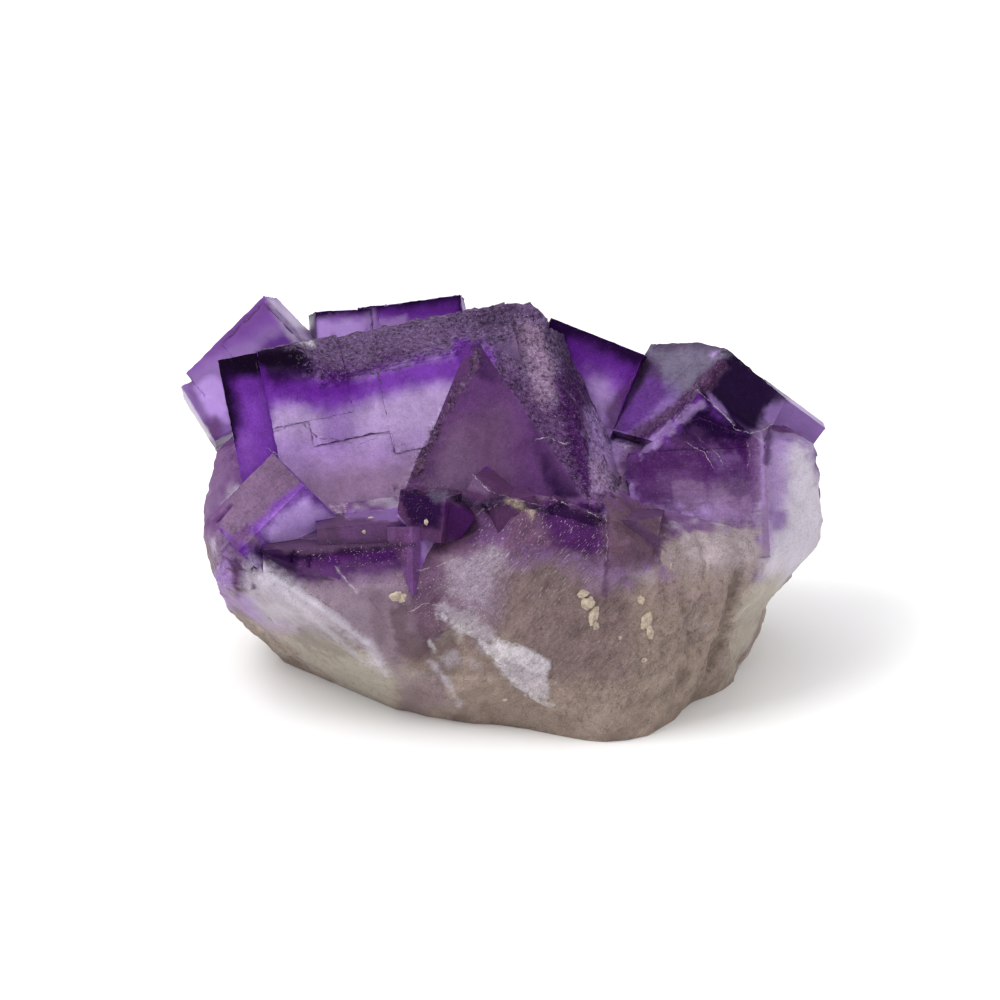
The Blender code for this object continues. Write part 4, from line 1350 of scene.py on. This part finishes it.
class FluoriteNodes(Nodes):
    """The crystal's nodes: its painted tint, finishes and marks are attributes, and the rest is noise."""

    def __init__(self, material):
        super().__init__(material)
        self.tint = self.attribute("tint", out=0)
        self.lively = self.tint.node.outputs["Alpha"]
        self.etching, self.rock, self.flaky = self.parts("surface")
        self.lined, self.sparkle, self.mottled = self.parts("pattern")
        axes = self.attribute("grain")
        self.place = self.millimetres()
        self.clouds = self.grain(self.place, *CLOUDS)
        self.fine = self.grain(self.place, *FINE_GRAIN)
        self.pits = self.grain(self.place, *PITS)
        self.streaks = self.grain(self.stretched(axes, STREAKED), *STREAKS)
        self.scratches = self.grain(self.stretched(axes, SCRATCHED), *SCRATCHES)
        self.specks = self.grain(self.place, *SPECKS)
        self.blots = self.grain(self.stretched(self.place, BLOTTED), *BLOTS)
        self.patches = self.plus(*(self.facets(axes, pitch) for pitch in FACETS))
        self.broken = self.maths("MAXIMUM", self.etching, self.flaky)

    def shaded(self):
        """The painted tint, lighter and darker in clouds, streaks, grains and patches."""
        on_rock = self.scaled_plus(self.rock, CLOUDS_ON_ROCK, 1.0)
        shade = self.times(self.about(self.clouds, SHADES["clouds"]), on_rock)
        lined = self.plus(self.lined, STREAKS_ALL_OVER)
        shade = self.plus(shade, self.times(self.about(self.streaks, SHADES["streaks"]), lined))
        broken = self.plus(self.broken, FINE_ALL_OVER)
        shade = self.plus(shade, self.times(self.about(self.fine, SHADES["fine"]), broken))
        shade = self.plus(shade, self.about(self.specks, SHADES["specks"]))
        patches = self.maths("SUBTRACT", self.patches, 1.0)
        shade = self.plus(shade, self.times(patches, self.times(self.rock, SHADES["facets"])))
        shade = self.scaled_plus(shade, self.lively, 1.0)
        return self.scaled(self.tint, self.maths("MAXIMUM", shade, DARKEST))

    def laid_over(self, colour, layer, pattern, where):
        """A colour with one layer over it, where both a pattern and a finish have it."""
        name, share, start, whole = layer
        cover = self.times(self.times(self.step(pattern, start, whole), where), share)
        return self.mix(cover, colour, rgba(name))

    def speckled(self, colour):
        """A colour with pits darkened as painted shade, grit and painted sparkle where it is broken, and the
        base's blots and scratches.
        """
        broken = self.times(self.broken, SPARKLE_SHARES["broken"])
        lit = self.maths("MAXIMUM", broken, self.times(self.sparkle, SPARKLE_SHARES["sparkle"]))
        for layer, pattern, where in (
            (DARK_PITS, self.pits, self.broken),
            (PALE_GRIT, self.pits, self.broken),
            (DUSKY_BLOTS, self.blots, self.mottled),
            (BRIGHT_SCRATCHES, self.scratches, self.times(self.lined, self.rock)),
            (FRECKLES, self.specks, self.rock),
            (SPARKLES, self.specks, self.plus(lit, SPARKLE_SHARES["all over"])),
        ):
            colour = self.laid_over(colour, layer, pattern, where)
        return colour

    def marked(self, colour):
        """A colour with the thin marks over it, broken here and there."""
        wobble = self.about(self.fine, MARK_WOBBLE)
        whole = self.step(self.grain(self.place, *GAPS), *GAP_STEP)
        for kind, (name, share) in MARK_COLOURS.items():
            offset, width, _ = self.parts(kind + "_mark")
            offset = self.maths("ABSOLUTE", self.plus(offset, wobble))
            beside = self.step(offset, self.times(width, MARK_CORE), width)
            cover = self.times(self.maths("SUBTRACT", 1.0, beside), self.step(width, *MARK_THERE))
            colour = self.mix(self.times(self.times(cover, whole), share), colour, rgba(name))
        return colour

    def roughness(self):
        """Rougher on the base, where it is etched and in its fine grain."""
        rough = self.scaled_plus(self.rock, ROUGHNESS["rock"], ROUGHNESS["crystal"])
        rough = self.scaled_plus(self.etching, ROUGHNESS["etching"], rough)
        return self.scaled_plus(self.fine, ROUGHNESS["fine"], rough)

    def relief(self):
        """The normal with pits where it is broken, and streaks on the base."""
        height = self.times(self.pits, self.scaled_plus(self.broken, *PIT_BUMP))
        height = self.scaled_plus(self.streaks, self.scaled_plus(self.rock, *STREAK_BUMP), height)
        return self.bump(height, *BUMP)


def fluorite_material():
    """Violet to milky crystal, partly see-through where it is pale."""
    material = bpy.data.materials.new("fluorite")
    nodes = FluoriteNodes(material)
    sockets = {
        "Base Color": nodes.marked(nodes.speckled(nodes.shaded())),
        "Roughness": nodes.roughness(),
        "Transmission Weight": nodes.attribute("clear", out=2),
        "IOR": IOR,
        "Specular IOR Level": SPECULAR,
        "Normal": nodes.relief(),
    }
    nodes.connect("Principled BSDF", sockets)
    absorbing = nodes.add("ShaderNodeVolumeAbsorption", (("Color", ABSORBED), ("Density", DENSITY)))
    nodes.connect("Material Output", {"Volume": absorbing})
    return material


def grain_material():
    """Cream grains with white painted highlights where they rise and tan painted shade in their hollows."""
    material = bpy.data.materials.new("cream grain")
    nodes = Nodes(material)
    place = nodes.millimetres()
    soft = nodes.grain(place, *GRAIN_SOFT)
    pits = nodes.grain(place, *GRAIN_PITS)
    colour = nodes.mix(nodes.step(soft, 0.35, 0.65), rgba("clay"), rgba("cream"))
    for name, share, start, whole in (GRAIN_HIGHLIGHTS, GRAIN_HOLLOWS):
        colour = nodes.mix(nodes.times(nodes.step(pits, start, whole), share), colour, rgba(name))
    bump = nodes.bump(pits, *GRAIN_BUMP)
    nodes.connect("Principled BSDF", {"Base Color": colour, "Roughness": GRAIN_ROUGHNESS, "Normal": bump})
    return material


# -------- floor, light and camera


def make_floor():
    """A plain pale floor."""
    half, low = FLOOR_HALF, FLOOR_HEIGHT
    corners = [(-half, -half, low), (half, -half, low), (half, half, low), (-half, half, low)]
    data = bpy.data.meshes.new("floor")
    data.from_pydata(corners, [], [(0, 1, 2, 3)])
    material = bpy.data.materials.new("floor")
    white = (FLOOR_WHITE, FLOOR_WHITE, FLOOR_WHITE, 1.0)
    Nodes(material).connect("Principled BSDF", {"Base Color": white, "Roughness": FLOOR_ROUGHNESS})
    data.materials.append(material)
    floor = bpy.data.objects.new("floor", data)
    bpy.context.scene.collection.objects.link(floor)


def make_studio():
    """A white studio, brighter overhead and behind the cluster than in front."""
    world = bpy.data.worlds.new("studio")
    nodes = Nodes(world)
    way = nodes.add("ShaderNodeTexCoord", out="Generated")
    ways = ((0, way), (1, BRIGHT_WAY))
    toward = nodes.add("ShaderNodeVectorMath", ways, out="Value", operation="DOT_PRODUCT")
    sockets = ("Value", "From Min", "From Max", "To Min", "To Max")
    inputs = zip(sockets, (toward, *STUDIO_TURN, *STUDIO_POWER))
    power = nodes.add("ShaderNodeMapRange", inputs, interpolation_type="SMOOTHSTEP")
    nodes.connect("Background", {"Strength": power, "Color": (1.0, 1.0, 1.0, 1.0)})
    bpy.context.scene.world = world


def make_light():
    """A square soft light above the cluster, which looks at its middle."""
    data = bpy.data.lights.new("over", "AREA")
    data.size = LIGHT_SIZE
    data.energy = LIGHT_POWER
    light = bpy.data.objects.new("over", data)
    light.location = LIGHT_PLACE
    light.rotation_euler = (Vector(LIGHT_AIM) - Vector(LIGHT_PLACE)).to_track_quat("-Z", "Y").to_euler()
    bpy.context.scene.collection.objects.link(light)


def make_camera():
    """The camera at the photographed angle."""
    data = bpy.data.cameras.new("camera")
    data.sensor_width = SENSOR
    data.lens = SENSOR * DISTANCE / FIELD
    data.clip_start, data.clip_end = CLIP
    camera = bpy.data.objects.new("camera", data)
    camera.location = Vector((SHIFT + AIM) * MM) + VIEW * DISTANCE * MM
    camera.rotation_euler = (-VIEW).to_track_quat("-Z", "Y").to_euler()
    bpy.context.scene.collection.objects.link(camera)
    bpy.context.scene.camera = camera


def main():
    """Builds the dressed cluster, its floor, its light and its camera."""
    noise.seed_set(CHIP_SEED)
    surface = Surface(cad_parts["fluorite_cluster"])
    canvas = paint(surface)
    carve(surface, canvas)
    build_cluster(surface, canvas)
    build_grains(surface)
    make_floor()
    make_studio()
    make_light()
    make_camera()
    bpy.context.scene.view_settings.view_transform = "Standard"


main()
